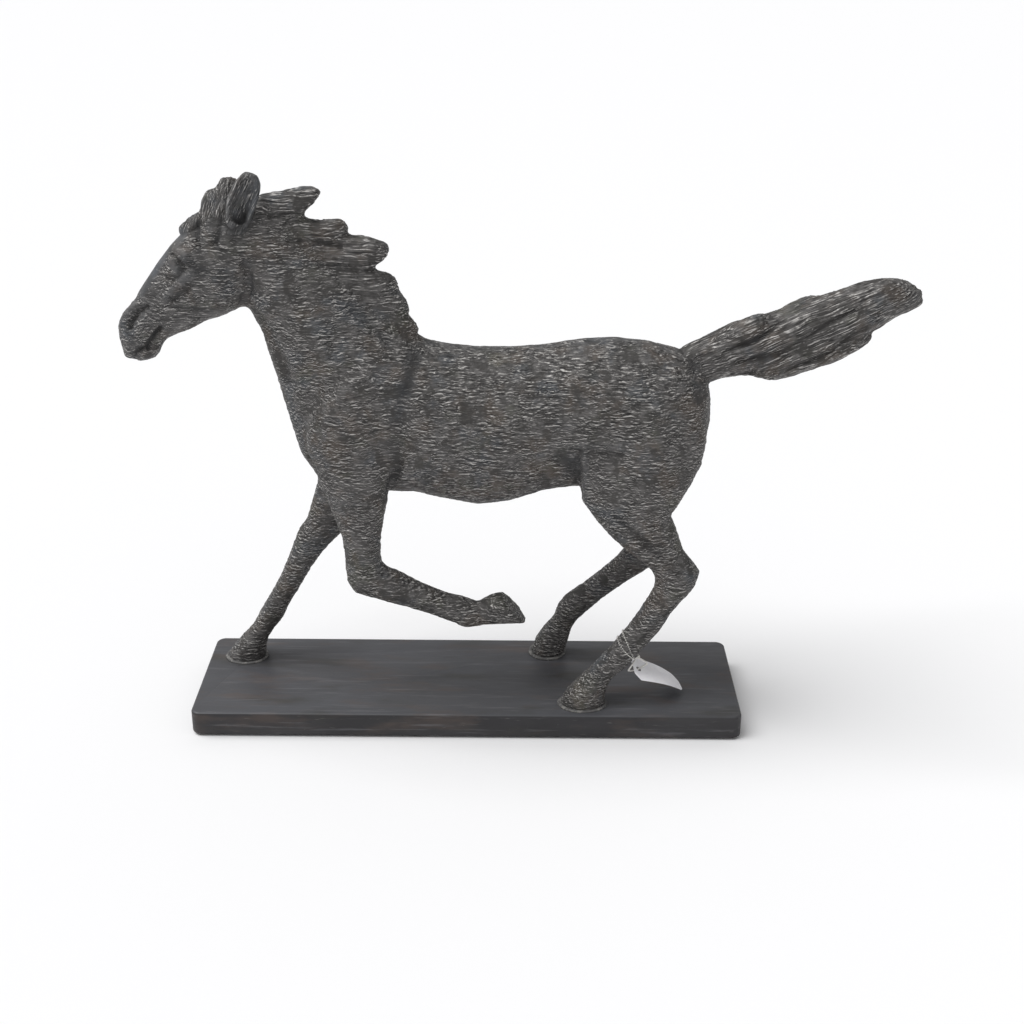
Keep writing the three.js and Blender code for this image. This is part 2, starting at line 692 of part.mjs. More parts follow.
// The bedding bead is an oval ring on the plinth round the hoof.
function beadGeometry(sole) {
  const inside = [sole.length / 2 + BEAD_CLEARANCE, sole.width / 2 + BEAD_CLEARANCE];
  const ring = new THREE.Shape();
  ring.absellipse(0, 0, inside[0] + BEAD_WIDTH, inside[1] + BEAD_WIDTH, 0, 2 * Math.PI);
  const hole = new THREE.Path();
  hole.absellipse(0, 0, inside[0], inside[1], 0, 2 * Math.PI, true);
  ring.holes.push(hole);
  return new THREE.ExtrudeGeometry(ring, {
    depth: BEAD_HEIGHT - 0.4,
    bevelThickness: 0.4,
    bevelSize: 0.4,
    bevelOffset: -0.4,
    bevelSegments: 1,
    curveSegments: 9,
  }).translate(horseX + sole.x, sole.y, plinthTop + SEAT_GAP + 0.4);
}

// ---- Swing tag and its string --------------------------------------------------------------

// A point of the left hind leg's surface in the part's frame, at a place along its stations.
const leftHindLeg = onSide(LEFT_HIND_LEG, LEFT);
const legSurface = (place, angle, out) =>
  ringPoint(stationAt(leftHindLeg, place), angle, out / scale)
    .multiplyScalar(scale)
    .add(new THREE.Vector3(horseX, 0, horseZ));

const STRING_HIGH = 9.95; // place on the leg of the string at the front of the cannon
const STRING_LOW = 11.35; // and at the back, beside the knot
const TURN_PITCH = 0.3; // between the two turns, in stations
const stringOut = STRING_DIAMETER / 2 + STRING_CLEARANCE;

// Two turns round the cannon, from the knot behind it and back.
function stringRoute() {
  const points = [];
  const perTurn = 18;
  const turns = 2;
  const opening = 0.5; // angle left free at the knot
  for (let i = 0; i <= perTurn * turns; i++) {
    const share = i / (perTurn * turns);
    const angle = Math.PI + opening + share * (2 * Math.PI * turns - 2 * opening);
    const toFront = (1 + Math.cos(angle)) / 2;
    const wound = (share - 0.5) * TURN_PITCH * turns;
    const place = STRING_LOW + (STRING_HIGH - STRING_LOW) * toFront - wound;
    points.push(legSurface(place, angle, stringOut));
  }
  return points;
}

// A tube along a list of points.
function cordGeometry(points, diameter, steps) {
  const round = new THREE.Shape().absarc(0, 0, diameter / 2, 0, 2 * Math.PI);
  return new THREE.ExtrudeGeometry(round, {
    steps,
    curveSegments: 4,
    extrudePath: new THREE.CatmullRomCurve3(points),
  });
}

const knotAt = legSurface(STRING_LOW, Math.PI, STRING_CLEARANCE + KNOT_DIAMETER / 2);

// The tag hangs from its eyelet and rests one corner of its far end on the plinth.
const eyeletFromKnot = new THREE.Vector3(1, 0.5, -10.5);
const eyeletAt = knotAt.clone().add(eyeletFromKnot);
const tagHeading = 0.47; // away from the leg and towards the right side
const tagRoll = 0.6; // its left edge hangs lower
const tagReach = TAG_LENGTH - EYELET_INSET;
const cornerDrop = (TAG_WIDTH / 2) * Math.sin(tagRoll);
const tagFall =
  Math.asin((eyeletAt.z - plinthTop - SEAT_GAP) / Math.hypot(tagReach, cornerDrop)) -
  Math.atan2(cornerDrop, tagReach);

function tagGeometry() {
  const outline = roundedRectangle(TAG_LENGTH, TAG_WIDTH, TAG_CORNER);
  outline.holes.push(
    new THREE.Path().absarc(
      -TAG_LENGTH / 2 + EYELET_INSET,
      0,
      EYELET_DIAMETER / 2,
      0,
      2 * Math.PI,
      true,
    ),
  );
  return new THREE.ExtrudeGeometry(outline, {
    depth: TAG_THICKNESS,
    bevelEnabled: false,
    curveSegments: 6,
  }).translate(TAG_LENGTH / 2 - EYELET_INSET, 0, 0);
}

// A point given from the eyelet along the tag's own length, width and thickness.
const tagTurn = new THREE.Euler(tagRoll, tagFall, tagHeading, "ZYX");
const onTag = (x, y, z) => new THREE.Vector3(x, y, z).applyEuler(tagTurn).add(eyeletAt);

// The slack loop of string: from the knot, through the eyelet, under the tag's end and back.
function loopRoute() {
  const apart = 0.65 * STRING_DIAMETER; // of each end from the knot's middle
  const inKnot = (offset) => knotAt.clone().add(new THREE.Vector3(offset, 0, -KNOT_DIAMETER / 4));
  return [
    inKnot(apart),
    onTag(3, 2.5, 6.5),
    onTag(2.2, 1.6, 3),
    onTag(0, 0, TAG_THICKNESS / 2),
    onTag(-2.4, -0.8, -1.9),
    onTag(-8, -2.6, -2.6),
    onTag(-10, -2.4, 1.6),
    inKnot(-apart),
  ];
}

// The string is one piece: its turns round the leg, its knot and the loop through the eyelet.
function stringBody() {
  const knot = new THREE.SphereGeometry(KNOT_DIAMETER / 2, 12, 8);
  knot.translate(knotAt.x, knotAt.y, knotAt.z);
  return joined([
    solid(cordGeometry(stringRoute(), STRING_DIAMETER, 42)),
    solid(knot),
    solid(cordGeometry(loopRoute(), STRING_DIAMETER, 20)),
  ]);
}

// ---- The assembly --------------------------------------------------------------------------

const statue = new THREE.Group();
function addPiece(name, geometry, material, parent = statue) {
  const piece = new THREE.Mesh(geometry, material);
  piece.name = name;
  parent.add(piece);
  return piece;
}
const addCasting = (name, body) => addPiece(name, geometryOf(placed(body)), BRONZE);

addPiece("plinth", geometryOf(plinthBody()), PLINTH_BRONZE);
addPiece("felt_underlay", feltGeometry(), FELT);

addCasting("trunk", trunkShape(0, WELD_GAP).subtract(core(TRUNK, [false, true])));
addCasting("neck", neckShape(0, WELD_GAP).subtract(core(NECK, [true, true])));
addCasting("head", headShape(0).subtract(core(HEAD, [true, false])));

const leftEarAround = earBody(LEFT_EAR, LEFT, WELD_GAP);
const rightEarAround = earBody(RIGHT_EAR, RIGHT, WELD_GAP);
addCasting("left_ear", cut(earBody(LEFT_EAR, LEFT), [headAround, neckAround]));
addCasting("right_ear", cut(earBody(RIGHT_EAR, RIGHT), [headAround, neckAround]));

const earsAround = [leftEarAround, rightEarAround];
addCasting("forelock", hairBody(FORELOCK_LOCKS, [headAround, ...earsAround]));
addCasting("mane", hairBody(MANE_LOCKS, [headAround, neckAround, trunkAround, ...earsAround]));
addCasting("tail", hairBody(TAIL_LOCKS, [trunkAround]));

addCasting("left_foreleg", legBody(LEFT_FORELEG, LEFT));

const LEGS = [
  ["right_foreleg", RIGHT_FORELEG, RIGHT, SOLES.right_fore, "right_fore"],
  ["left_hind_leg", LEFT_HIND_LEG, LEFT, SOLES.left_hind, "left_hind"],
  ["right_hind_leg", RIGHT_HIND_LEG, RIGHT, SOLES.right_hind, "right_hind"],
];
for (const [name, stations, side, sole, foot] of LEGS) {
  const bored = placed(legBody(stations, side)).subtract(hoofBore(sole));
  addPiece(name, geometryOf(bored), BRONZE);
  addPiece(`bedding_bead_${foot}`, beadGeometry(sole), PLINTH_BRONZE);

  const fixing = new THREE.Group();
  fixing.position.set(horseX + sole.x, sole.y, 0);
  statue.add(fixing);
  addPiece(`stud_${foot}`, studGeometry(), STEEL, fixing);
  addPiece(`washer_${foot}`, washerGeometry(), STEEL, fixing);
  addPiece(`nut_${foot}`, nutGeometry(), STEEL, fixing);
}

addPiece("tag_string", geometryOf(stringBody()), COTTON);

const tagPivot = new THREE.Group();
tagPivot.position.copy(eyeletAt);
tagPivot.rotation.copy(tagTurn);
statue.add(tagPivot);
addPiece("swing_tag", tagGeometry(), CARD, tagPivot);

export default statue;
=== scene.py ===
"""A cantering horse cast in patinated bronze, on a long low plinth.

Metres, +Z up. The horse faces -X and its left side faces -Y. The castings are made as one
skin over the CAD sections, tooled, and cut apart again where the sections meet.
"""

import math

import bmesh
import bpy
import numpy as np
from mathutils import Matrix, Vector, noise
from mathutils.bvhtree import BVHTree


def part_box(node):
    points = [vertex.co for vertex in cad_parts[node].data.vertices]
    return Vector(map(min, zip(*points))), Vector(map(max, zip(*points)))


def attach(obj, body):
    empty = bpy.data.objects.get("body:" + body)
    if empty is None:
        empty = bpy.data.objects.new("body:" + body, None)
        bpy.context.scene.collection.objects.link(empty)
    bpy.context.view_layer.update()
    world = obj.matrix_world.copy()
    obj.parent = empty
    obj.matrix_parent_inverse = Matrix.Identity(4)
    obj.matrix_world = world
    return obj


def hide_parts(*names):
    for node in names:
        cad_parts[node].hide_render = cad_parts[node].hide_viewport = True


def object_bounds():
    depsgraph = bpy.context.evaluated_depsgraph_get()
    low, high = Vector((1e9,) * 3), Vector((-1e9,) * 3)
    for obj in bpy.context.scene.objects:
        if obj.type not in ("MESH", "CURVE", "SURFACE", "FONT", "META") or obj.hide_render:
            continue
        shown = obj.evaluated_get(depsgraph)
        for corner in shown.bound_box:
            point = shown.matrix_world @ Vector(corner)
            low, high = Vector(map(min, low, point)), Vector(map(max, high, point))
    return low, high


MM = 0.001
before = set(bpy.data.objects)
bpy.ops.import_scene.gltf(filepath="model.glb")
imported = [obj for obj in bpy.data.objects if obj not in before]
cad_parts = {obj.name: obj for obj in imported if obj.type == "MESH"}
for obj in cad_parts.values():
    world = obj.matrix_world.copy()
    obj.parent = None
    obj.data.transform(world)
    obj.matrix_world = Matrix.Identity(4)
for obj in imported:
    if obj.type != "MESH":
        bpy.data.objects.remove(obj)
cad_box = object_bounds()

# ---- Camera, floor and light --------------------------------------------------------------------

CAMERA_AT = Vector((33.6, -1012.1, 596.8)) * MM
CAMERA_PITCH = math.radians(23.563)
CAMERA_YAW = math.radians(-0.08)
CAMERA_ROLL = math.radians(0.411)
LENS = 53.53
SENSOR = 36.0


def place_camera():
    """The camera stands in front of the horse's left side and looks down on it."""
    forward = Vector(
        (
            math.sin(CAMERA_YAW) * math.cos(CAMERA_PITCH),
            math.cos(CAMERA_YAW) * math.cos(CAMERA_PITCH),
            -math.sin(CAMERA_PITCH),
        )
    )
    level = Vector((math.cos(CAMERA_YAW), -math.sin(CAMERA_YAW), 0))
    upright = level.cross(forward)
    right = level * math.cos(CAMERA_ROLL) + upright * math.sin(CAMERA_ROLL)
    up = right.cross(forward)
    data = bpy.data.cameras.new("camera")
    data.lens = LENS
    data.sensor_width = SENSOR
    camera = bpy.data.objects.new("camera", data)
    turn = Matrix((right, up, -forward)).transposed()
    camera.matrix_world = Matrix.Translation(CAMERA_AT) @ turn.to_4x4()
    bpy.context.scene.collection.objects.link(camera)
    bpy.context.scene.camera = camera


def colour(hex_code):
    """An sRGB hex colour as linear RGBA."""
    parts = [int(hex_code[i : i + 2], 16) / 255 for i in (1, 3, 5)]
    linear = [p / 12.92 if p <= 0.04045 else ((p + 0.055) / 1.055) ** 2.4 for p in parts]
    return (*linear, 1.0)


def add(tree, kind, inputs=None, take=0, **settings):
    """Adds a node with its settings, its sockets linked or set, and returns one output."""
    node = tree.nodes.new(kind)
    for name, value in settings.items():
        setattr(node, name, value)
    for key, value in (inputs or {}).items():
        if isinstance(value, bpy.types.NodeSocket):
            tree.links.new(value, node.inputs[key])
        else:
            node.inputs[key].default_value = value
    return node.outputs[take] if len(node.outputs) else node


def new_material(name, base, **finish):
    """A material with one Principled shader. Returns it, its tree and the shader."""
    material = bpy.data.materials.new(name)
    material.use_nodes = True
    tree = material.node_tree
    shader = tree.nodes["Principled BSDF"]
    shader.inputs["Base Color"].default_value = colour(base)
    for socket, value in finish.items():
        shader.inputs[socket.replace("_", " ")].default_value = value
    return material, tree, shader


SKY_STRENGTH = 0.44
SUN_STRENGTH = 2.45
SUN_WIDTH = math.radians(45)
SUN_SHINES = Vector((0.5, 0.06, -0.87))
FLOOR_REACH = 30  # metres


def light_the_studio():
    """A soft sun from the upper left, an even white sky, and a pale floor."""
    world = bpy.data.worlds.new("studio")
    bpy.context.scene.world = world
    world.use_nodes = True
    sky = world.node_tree.nodes["Background"]
    sky.inputs["Color"].default_value = colour("#ffffff")
    sky.inputs["Strength"].default_value = SKY_STRENGTH

    sun = bpy.data.lights.new("sun", "SUN")
    sun.energy = SUN_STRENGTH
    sun.angle = SUN_WIDTH
    sun_object = bpy.data.objects.new("sun", sun)
    sun_object.rotation_mode = "QUATERNION"
    sun_object.rotation_quaternion = SUN_SHINES.to_track_quat("-Z", "Y")
    bpy.context.scene.collection.objects.link(sun_object)

    material, _, shader = new_material("studio_paper", "#f4f4f5", Roughness=0.85)
    shader.inputs["Specular IOR Level"].default_value = 0.1
    bm = bmesh.new()
    bmesh.ops.create_grid(bm, x_segments=1, y_segments=1, size=FLOOR_REACH)
    floor = new_object("floor", bm)
    floor.data.materials.append(material)
    bpy.context.scene.view_settings.view_transform = "Standard"


# ---- Mesh helpers -------------------------------------------------------------------------------


def new_object(name, bm):
    """A linked object from a bmesh, which is freed."""
    mesh = bpy.data.meshes.new(name)
    bm.to_mesh(mesh)
    bm.free()
    made = bpy.data.objects.new(name, mesh)
    bpy.context.scene.collection.objects.link(made)
    return made


def merged_copy(node, grow=0.0):
    """A CAD node's mesh with its doubles merged, grown outwards by that many millimetres."""
    bm = bmesh.new()
    bm.from_mesh(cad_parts[node].data)
    bmesh.ops.remove_doubles(bm, verts=bm.verts, dist=1e-6)
    bm.normal_update()
    for vert in bm.verts:
        vert.co += vert.normal * grow * MM
    return bm


def joined(parts):
    """Several bmeshes in one."""
    whole = bmesh.new()
    for part in parts:
        mesh = bpy.data.meshes.new("part")
        part.to_mesh(mesh)
        part.free()
        whole.from_mesh(mesh)
        bpy.data.meshes.remove(mesh)
    return whole


def applied(target):
    """The object with its modifiers applied and removed."""
    depsgraph = bpy.context.evaluated_depsgraph_get()
    mesh = bpy.data.meshes.new_from_object(target.evaluated_get(depsgraph))
    old = target.data
    target.modifiers.clear()
    target.data = mesh
    bpy.data.meshes.remove(old)
    return target


def remeshed(name, bm, voxel):
    """One closed surface over the bodies in a bmesh, with only its largest shell kept."""
    made = new_object(name, bm)
    remesh = made.modifiers.new("remesh", "REMESH")
    remesh.mode = "VOXEL"
    remesh.voxel_size = voxel * MM
    remesh.adaptivity = 0
    applied(made)
    keep_largest(made)
    return made


def shells(count, pairs):
    """Numbers the things that pairs join up: all in one shell get the same number."""
    shell = np.arange(count)
    while True:
        low = np.minimum(shell[pairs[:, 0]], shell[pairs[:, 1]])
        before = shell.copy()
        np.minimum.at(shell, pairs[:, 0], low)
        np.minimum.at(shell, pairs[:, 1], low)
        shell = shell[shell]
        if np.array_equal(before, shell):
            return shell


def keep_largest(target):
    """Deletes every loose shell but the one with the most vertices."""
    shell = shells(len(target.data.vertices), edges_of(target))
    largest = np.bincount(shell).argmax()
    if np.all(shell == largest):
        return
    bm = bmesh.new()
    bm.from_mesh(target.data)
    bm.verts.ensure_lookup_table()
    bmesh.ops.delete(bm, geom=[bm.verts[i] for i in np.flatnonzero(shell != largest)])
    bm.to_mesh(target.data)
    bm.free()


def points_of(target):
    found = np.empty(len(target.data.vertices) * 3, np.float32)
    target.data.vertices.foreach_get("co", found)
    return found.reshape(-1, 3).astype(float) / MM


def move_points(target, points):
    target.data.vertices.foreach_set("co", (points * MM).astype(np.float32).ravel())
    target.data.update()


def edges_of(target):
    found = np.empty(len(target.data.edges) * 2, np.int32)
    target.data.edges.foreach_get("vertices", found)
    return found.reshape(-1, 2)


def normals_of(target):
    found = np.empty(len(target.data.vertices) * 3, np.float32)
    target.data.vertex_normals.foreach_get("vector", found)
    return found.reshape(-1, 3).astype(float)


def neighbour_mean(values, edges):
    """Each vertex's mean over its neighbours."""
    a, b = edges.T
    count = len(values)
    degree = np.maximum(np.bincount(a, minlength=count) + np.bincount(b, minlength=count), 1)
    columns = values.reshape(count, -1)
    mean = np.empty_like(columns)
    for i in range(columns.shape[1]):
        mean[:, i] = np.bincount(a, columns[b, i], count) + np.bincount(b, columns[a, i], count)
        mean[:, i] /= degree
    return mean.reshape(values.shape)


PULL_IN, PUSH_OUT = 0.62, -0.64  # shares of the way to the mean of a vertex's neighbours


def relax(target, passes, weight=None):
    """Smooths a mesh and keeps its volume: each pull in is followed by a push out."""
    points, edges = points_of(target), edges_of(target)
    share = np.ones((len(points), 1)) if weight is None else weight[:, None]
    for _ in range(passes):
        for pull in (PULL_IN, PUSH_OUT):
            points += pull * share * (neighbour_mean(points, edges) - points)
    move_points(target, points)


def blurred(values, edges, passes):
    for _ in range(passes):
        values = 0.5 * (values + neighbour_mean(values, edges))
    return values


def set_attribute(target, name, values):
    """Stores a number or a vector for each vertex."""
    kind, field = ("FLOAT", "value") if values.ndim == 1 else ("FLOAT_VECTOR", "vector")
    layer = target.data.attributes.new(name, kind, "POINT")
    layer.data.foreach_set(field, values.astype(np.float32).ravel())


def set_smooth(target):
    for face in target.data.polygons:
        face.use_smooth = True


# ---- The castings as one skin -------------------------------------------------------------------

SKIN_VOXEL = 1.18
BODY_VOXEL = 2.0
LOCK_VOXEL = 1.2
BODY_GROWTH = 0.4  # how far each solid is grown, in mm, so that neighbours run together
LOCK_GROWTH = 0.7
BODY_PASSES = 26
SKIN_PASSES = 3
WELD_PASSES = 6  # how far the castings' shares of the skin are blurred into each other
BODY_NODES = [
    "trunk",
    "neck",
    "head",
    "left_foreleg",
    "right_foreleg",
    "left_hind_leg",
    "right_hind_leg",
]
# Hair and ears, with how many smoothing passes each takes before it joins the skin.
LOCK_PASSES = {"mane": 12, "forelock": 5, "tail": 4, "left_ear": 2, "right_ear": 3}
CASTINGS = BODY_NODES + list(LOCK_PASSES)


LEG_TOP_Z, HOCK_Z, HOOF_TOP_Z = 150, 104, 48
NOSE_X, RAISED_HOOF_X = -215, -4


def body_mass():
    """Trunk, neck, head and legs run together, with soft transitions between the muscles."""
    grown = (merged_copy(node, BODY_GROWTH) for node in BODY_NODES)
    body = remeshed("body", joined(grown), BODY_VOXEL)
    x, _, z = points_of(body).T
    # Thin legs and the muzzle keep their shape; the trunk's lumps melt into each other.
    bulk = np.clip((z - LEG_TOP_Z) / 30, 0.35, 1)
    bulk *= np.clip((x - NOSE_X) / 70, 0.3, 1)
    bulk[(z < HOOF_TOP_Z) | ((x > RAISED_HOOF_X) & (z < HOCK_Z))] *= 0.35
    relax(body, BODY_PASSES, bulk)
    return body


def bmesh_of(target):
    bm = bmesh.new()
    bm.from_mesh(target.data)
    bpy.data.objects.remove(target)
    return bm


def make_skin():
    masses = [body_mass()]
    for node, passes in LOCK_PASSES.items():
        masses.append(remeshed(node, merged_copy(node, LOCK_GROWTH), LOCK_VOXEL))
        relax(masses[-1], passes)
    skin = remeshed("skin", joined(bmesh_of(mass) for mass in masses), SKIN_VOXEL)
    relax(skin, SKIN_PASSES)
    return skin


def section_scores(points, edges):
    """For each vertex, how much it belongs to each casting, softened along the surface."""
    triangles, owners = [], []
    for number, node in enumerate(CASTINGS):
        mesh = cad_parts[node].data
        start = len(triangles)
        triangles += [[tuple(mesh.vertices[i].co) for i in p.vertices] for p in mesh.polygons]
        owners += [number] * (len(triangles) - start)
    flat = [corner for triangle in triangles for corner in triangle]
    faces = [(3 * i, 3 * i + 1, 3 * i + 2) for i in range(len(triangles))]
    tree = BVHTree.FromPolygons(flat, faces)
    scores = np.zeros((len(points), len(CASTINGS)))
    for i, point in enumerate(points * MM):
        scores[i, owners[tree.find_nearest(point)[2]]] = 1
    return blurred(scores, edges, WELD_PASSES)


# ---- Tooling: features pressed into the skin or raised from it ----------------------------------


def fade(distance, radius):
    """1 at no distance and 0 from the radius on, with a soft shoulder."""
    near = np.clip(1 - distance / radius, 0, 1)
    return near * near * (3 - 2 * near)


def distance_to_line(points, line):
    """Distance from each point to a line of points."""
    if len(line) == 1:
        return np.linalg.norm(points - line[0], axis=1)
    nearest = np.full(len(points), np.inf)
    for start, end in zip(line[:-1], line[1:]):
        run = end - start
        along = np.clip((points - start) @ run / (run @ run), 0, 1)
        gap = np.linalg.norm(points - start - along[:, None] * run, axis=1)
        nearest = np.minimum(nearest, gap)
    return nearest


LEFT = -1
RIGHT = 1
BOTH = (LEFT, RIGHT)

# Each row: what it is, its line as [x, z] on the side of the horse, the tool's radius, how deep
# it presses in (or raises, if negative), how dark patina and painted shade lie in it, how
# smooth it is rubbed, and which sides of the horse have it. Millimetres, and shares of one.
HEAD_FEATURES = [
    ("brow bone", [(-198, 351), (-192.7, 349), (-187, 345)], 6, -2.4, 0, 0.75, BOTH),
    (
        "forehead",
        [(-190, 358), (-197, 352), (-204, 344), (-214, 331), (-221, 319)],
        9, -0.5, 0, 0.9, BOTH,
    ),
    ("lid crease", [(-198, 345.8), (-195, 346), (-191.9, 343.1)], 2.6, 2.1, 0.9, 0.4, BOTH),
    ("eye", [(-190.5, 341), (-189, 338)], 4.2, 2.2, 0.9, 0.4, BOTH),
    ("eyeball", [(-190, 340.2)], 2.6, -1.2, 0, 0.5, BOTH),
    ("under the eye", [(-197, 341), (-193, 337.5)], 6, -1.1, 0, 0.8, BOTH),
    ("tear furrow", [(-189.2, 336), (-193, 332), (-199, 330)], 2.6, 1.5, 0.7, 0.6, BOTH),
    (
        "facial crest",
        [(-182, 335), (-188.9, 330.5), (-194, 325.8), (-202, 317.5)],
        4.4, -1.9, 0, 0.6, BOTH,
    ),
    ("behind the eye", [(-184, 342), (-179, 337.5), (-174, 335.5)], 5.5, 1.9, 0.7, 0.7, BOTH),
    ("below the crest", [(-186, 326), (-192, 320.5), (-198, 316.5)], 4.2, 1.9, 0.6, 0.5, BOTH),
    ("cheek", [(-165, 324), (-173, 318)], 14, -2.5, 0, 0, BOTH),
    ("jaw line", [(-194, 310), (-183, 309.5), (-174, 308), (-165, 310)], 3.6, 1.6, 0.5, 0.4, BOTH),
    ("jaw crease", [(-147, 342), (-144.8, 331), (-146, 323), (-151, 313)], 5, 3.0, 0.5, 0.5, BOTH),
    ("above the nostril", [(-207, 321), (-213, 315)], 5, 1.1, 0.3, 0.2, BOTH),
    (
        "nostril",
        [(-217, 309.8), (-223.5, 306), (-227.5, 300), (-230, 294.5)],
        3.8, 3.2, 0.9, 0.5, BOTH,
    ),
    ("nostril wing", [(-217, 302), (-221.5, 297), (-224, 291)], 4.2, -1.4, 0, 0, BOTH),
    ("nose rim", [(-226, 310), (-232, 303.5), (-236, 296)], 3.4, -1.1, 0, 0.6, BOTH),
    ("mouth", [(-209, 294.5), (-213, 289.5), (-217, 285), (-218.3, 280)], 2.7, 3.8, 1, 0.8, BOTH),
    ("lips", [(-218.3, 281), (-224, 279.6), (-228, 276.5), (-229.8, 270)], 2.5, 3.0, 1, 0.6, BOTH),
    ("upper lip", [(-232, 280), (-234.5, 274)], 4.5, -1.1, 0, 0.3, BOTH),
    ("chin", [(-214.8, 277.8), (-221, 275)], 5.5, -1.5, 0, 0.3, BOTH),
    ("temple hair", [(-170, 369), (-169, 362), (-172, 355.5)], 6.5, -1.8, 0, 0.3, BOTH),
    ("temple furrow", [(-178.5, 367), (-178, 359), (-177, 352.5)], 2.8, 1.9, 0.9, 0.5, BOTH),
    ("hair part", [(-162, 371), (-162.5, 363), (-166, 354)], 2.8, 1.6, 0.9, 0.5, BOTH),
    ("ear cup", [(-147, 374), (-150, 366), (-153.5, 357)], 4.6, 1.0, 0.8, 0.2, (LEFT,)),
    ("ear root", [(-160, 367), (-155, 363.5), (-146, 365.5)], 3.2, 2.0, 0.9, 0.5, BOTH),
    ("cheek scratch", [(-171, 341), (-151, 341.2)], 1.4, -1.0, 0, 0, (LEFT,)),
]
BODY_FEATURES = [
    ("throat furrow", [(-146, 312), (-131, 288), (-122, 262)], 8, 1.6, 0.2, 0, BOTH),
    ("neck muscle", [(-135, 330), (-108, 300), (-92, 278)], 15, -1.3, 0, 0, BOTH),
    ("withers groove", [(-77, 311), (-67, 303), (-60, 295), (-53, 288)], 5, 1.6, 0.5, 0.5, BOTH),
    ("shoulder blade", [(-60, 283), (-78, 262), (-98, 236)], 9, -1.5, 0, 0, BOTH),
    ("behind the blade", [(-35, 279), (-38, 268), (-41, 257)], 9, 1.0, 0.9, 0.6, BOTH),
    ("behind the shoulder", [(-42, 250), (-46, 232), (-49, 208)], 10, 1.8, 0.4, 0.1, BOTH),
    ("elbow crease", [(-46, 204), (-50, 193), (-55, 180)], 5.5, 2.8, 0.9, 0.3, BOTH),
    ("chest furrow", [(-120, 228), (-112, 205), (-98, 192)], 8, 1.2, 0.3, 0, BOTH),
    ("ribs", [(-15, 215), (35, 212)], 26, -0.8, 0, 0, BOTH),
    ("flank hollow", [(66, 213), (73, 206), (74, 198)], 10, 2.6, 0.8, 0.6, BOTH),
    ("flank fold", [(77, 211), (77.5, 200), (78, 186), (79, 178)], 3.6, 2.4, 1, 0.5, BOTH),
    ("fold's lip", [(82, 217), (82.3, 206), (82.6, 194), (84, 182)], 4.4, -1.5, 0, 0.5, BOTH),
    ("haunch ridge", [(65, 222.5), (88, 221.5), (110, 220.5)], 4, -0.8, 0, 0.3, (LEFT,)),
    ("under the ridge", [(72, 218.5), (90, 217), (108, 216)], 2.6, 0.9, 0.7, 0, (LEFT,)),
    ("haunch", [(122, 238), (128, 212)], 24, -1.2, 0, 0, BOTH),
    ("thigh furrow", [(146, 250), (152, 225), (150, 200)], 8, 1.1, 0.2, 0, BOTH),
    ("tail root", [(157, 271), (158, 262), (160, 252)], 7, 1.6, 0.35, 0.4, BOTH),
    ("stifle", [(110, 151)], 6, -0.8, 0, 0.8, BOTH),
    ("upper gaskin furrow", [(104, 170), (117, 160), (130, 148.5)], 3.4, 1.3, 0.9, 0, BOTH),
    ("lower gaskin furrow", [(115, 158), (126, 149), (137, 141)], 3.4, 1.3, 0.9, 0, BOTH),
    ("left knee", [(-75, 112)], 9, -0.8, 0, 0, (LEFT,)),
    ("left fetlock", [(-3, 84)], 9, -0.7, 0, 0, (LEFT,)),
    ("left coronet", [(12, 84), (16, 88)], 4, -0.7, 0, 0, (LEFT,)),
    ("left fore tendon", [(-50, 99), (-25, 90)], 3.6, 1.1, 0.5, 0, (LEFT,)),
    ("left gaskin", [(138, 138), (152, 126)], 5, 1.3, 0.5, 0, (LEFT,)),
    ("left hind tendon", [(150, 102), (133, 84), (119, 66)], 4, 1.2, 0.5, 0, (LEFT,)),
    ("right hind tendon", [(135, 106), (108, 84), (90, 66)], 4, 1.1, 0.5, 0, (RIGHT,)),
    ("right fore tendon", [(-126, 108), (-140, 84), (-151, 64)], 3.6, 1.1, 0.5, 0, (RIGHT,)),
    ("mane furrow", [(-130, 372), (-112, 373), (-96, 371)], 2.6, 1.7, 0.8, 0, BOTH),
    ("second mane furrow", [(-118, 356), (-100, 356), (-84, 352)], 2.6, 1.7, 0.8, 0, BOTH),
    ("third mane furrow", [(-98, 341), (-80, 338), (-60, 334)], 2.6, 1.7, 0.8, 0, BOTH),
    ("upper tail furrow", [(176, 282), (196, 290), (216, 304)], 2.8, 2.0, 0.8, 0, BOTH),
    ("middle tail furrow", [(186, 275), (214, 283), (240, 300), (262, 312)], 3, 2.0, 0.8, 0, BOTH),
    ("lower tail furrow", [(194, 266), (224, 272), (252, 286), (272, 300)], 3, 2.0, 0.8, 0, BOTH),
]


OUTSIDE = 150  # across the horse, clear of its widest part


def on_side(tree, line, side):
    """The points where the skin is met at the x and z of a line, looking in from that side."""
    found = []
    for x, z in line:
        start = Vector((x, side * OUTSIDE, z)) * MM
        hit = tree.ray_cast(start, Vector((0, -side, 0)))[0]
        if hit:
            found.append(np.array(hit) / MM)
    return found


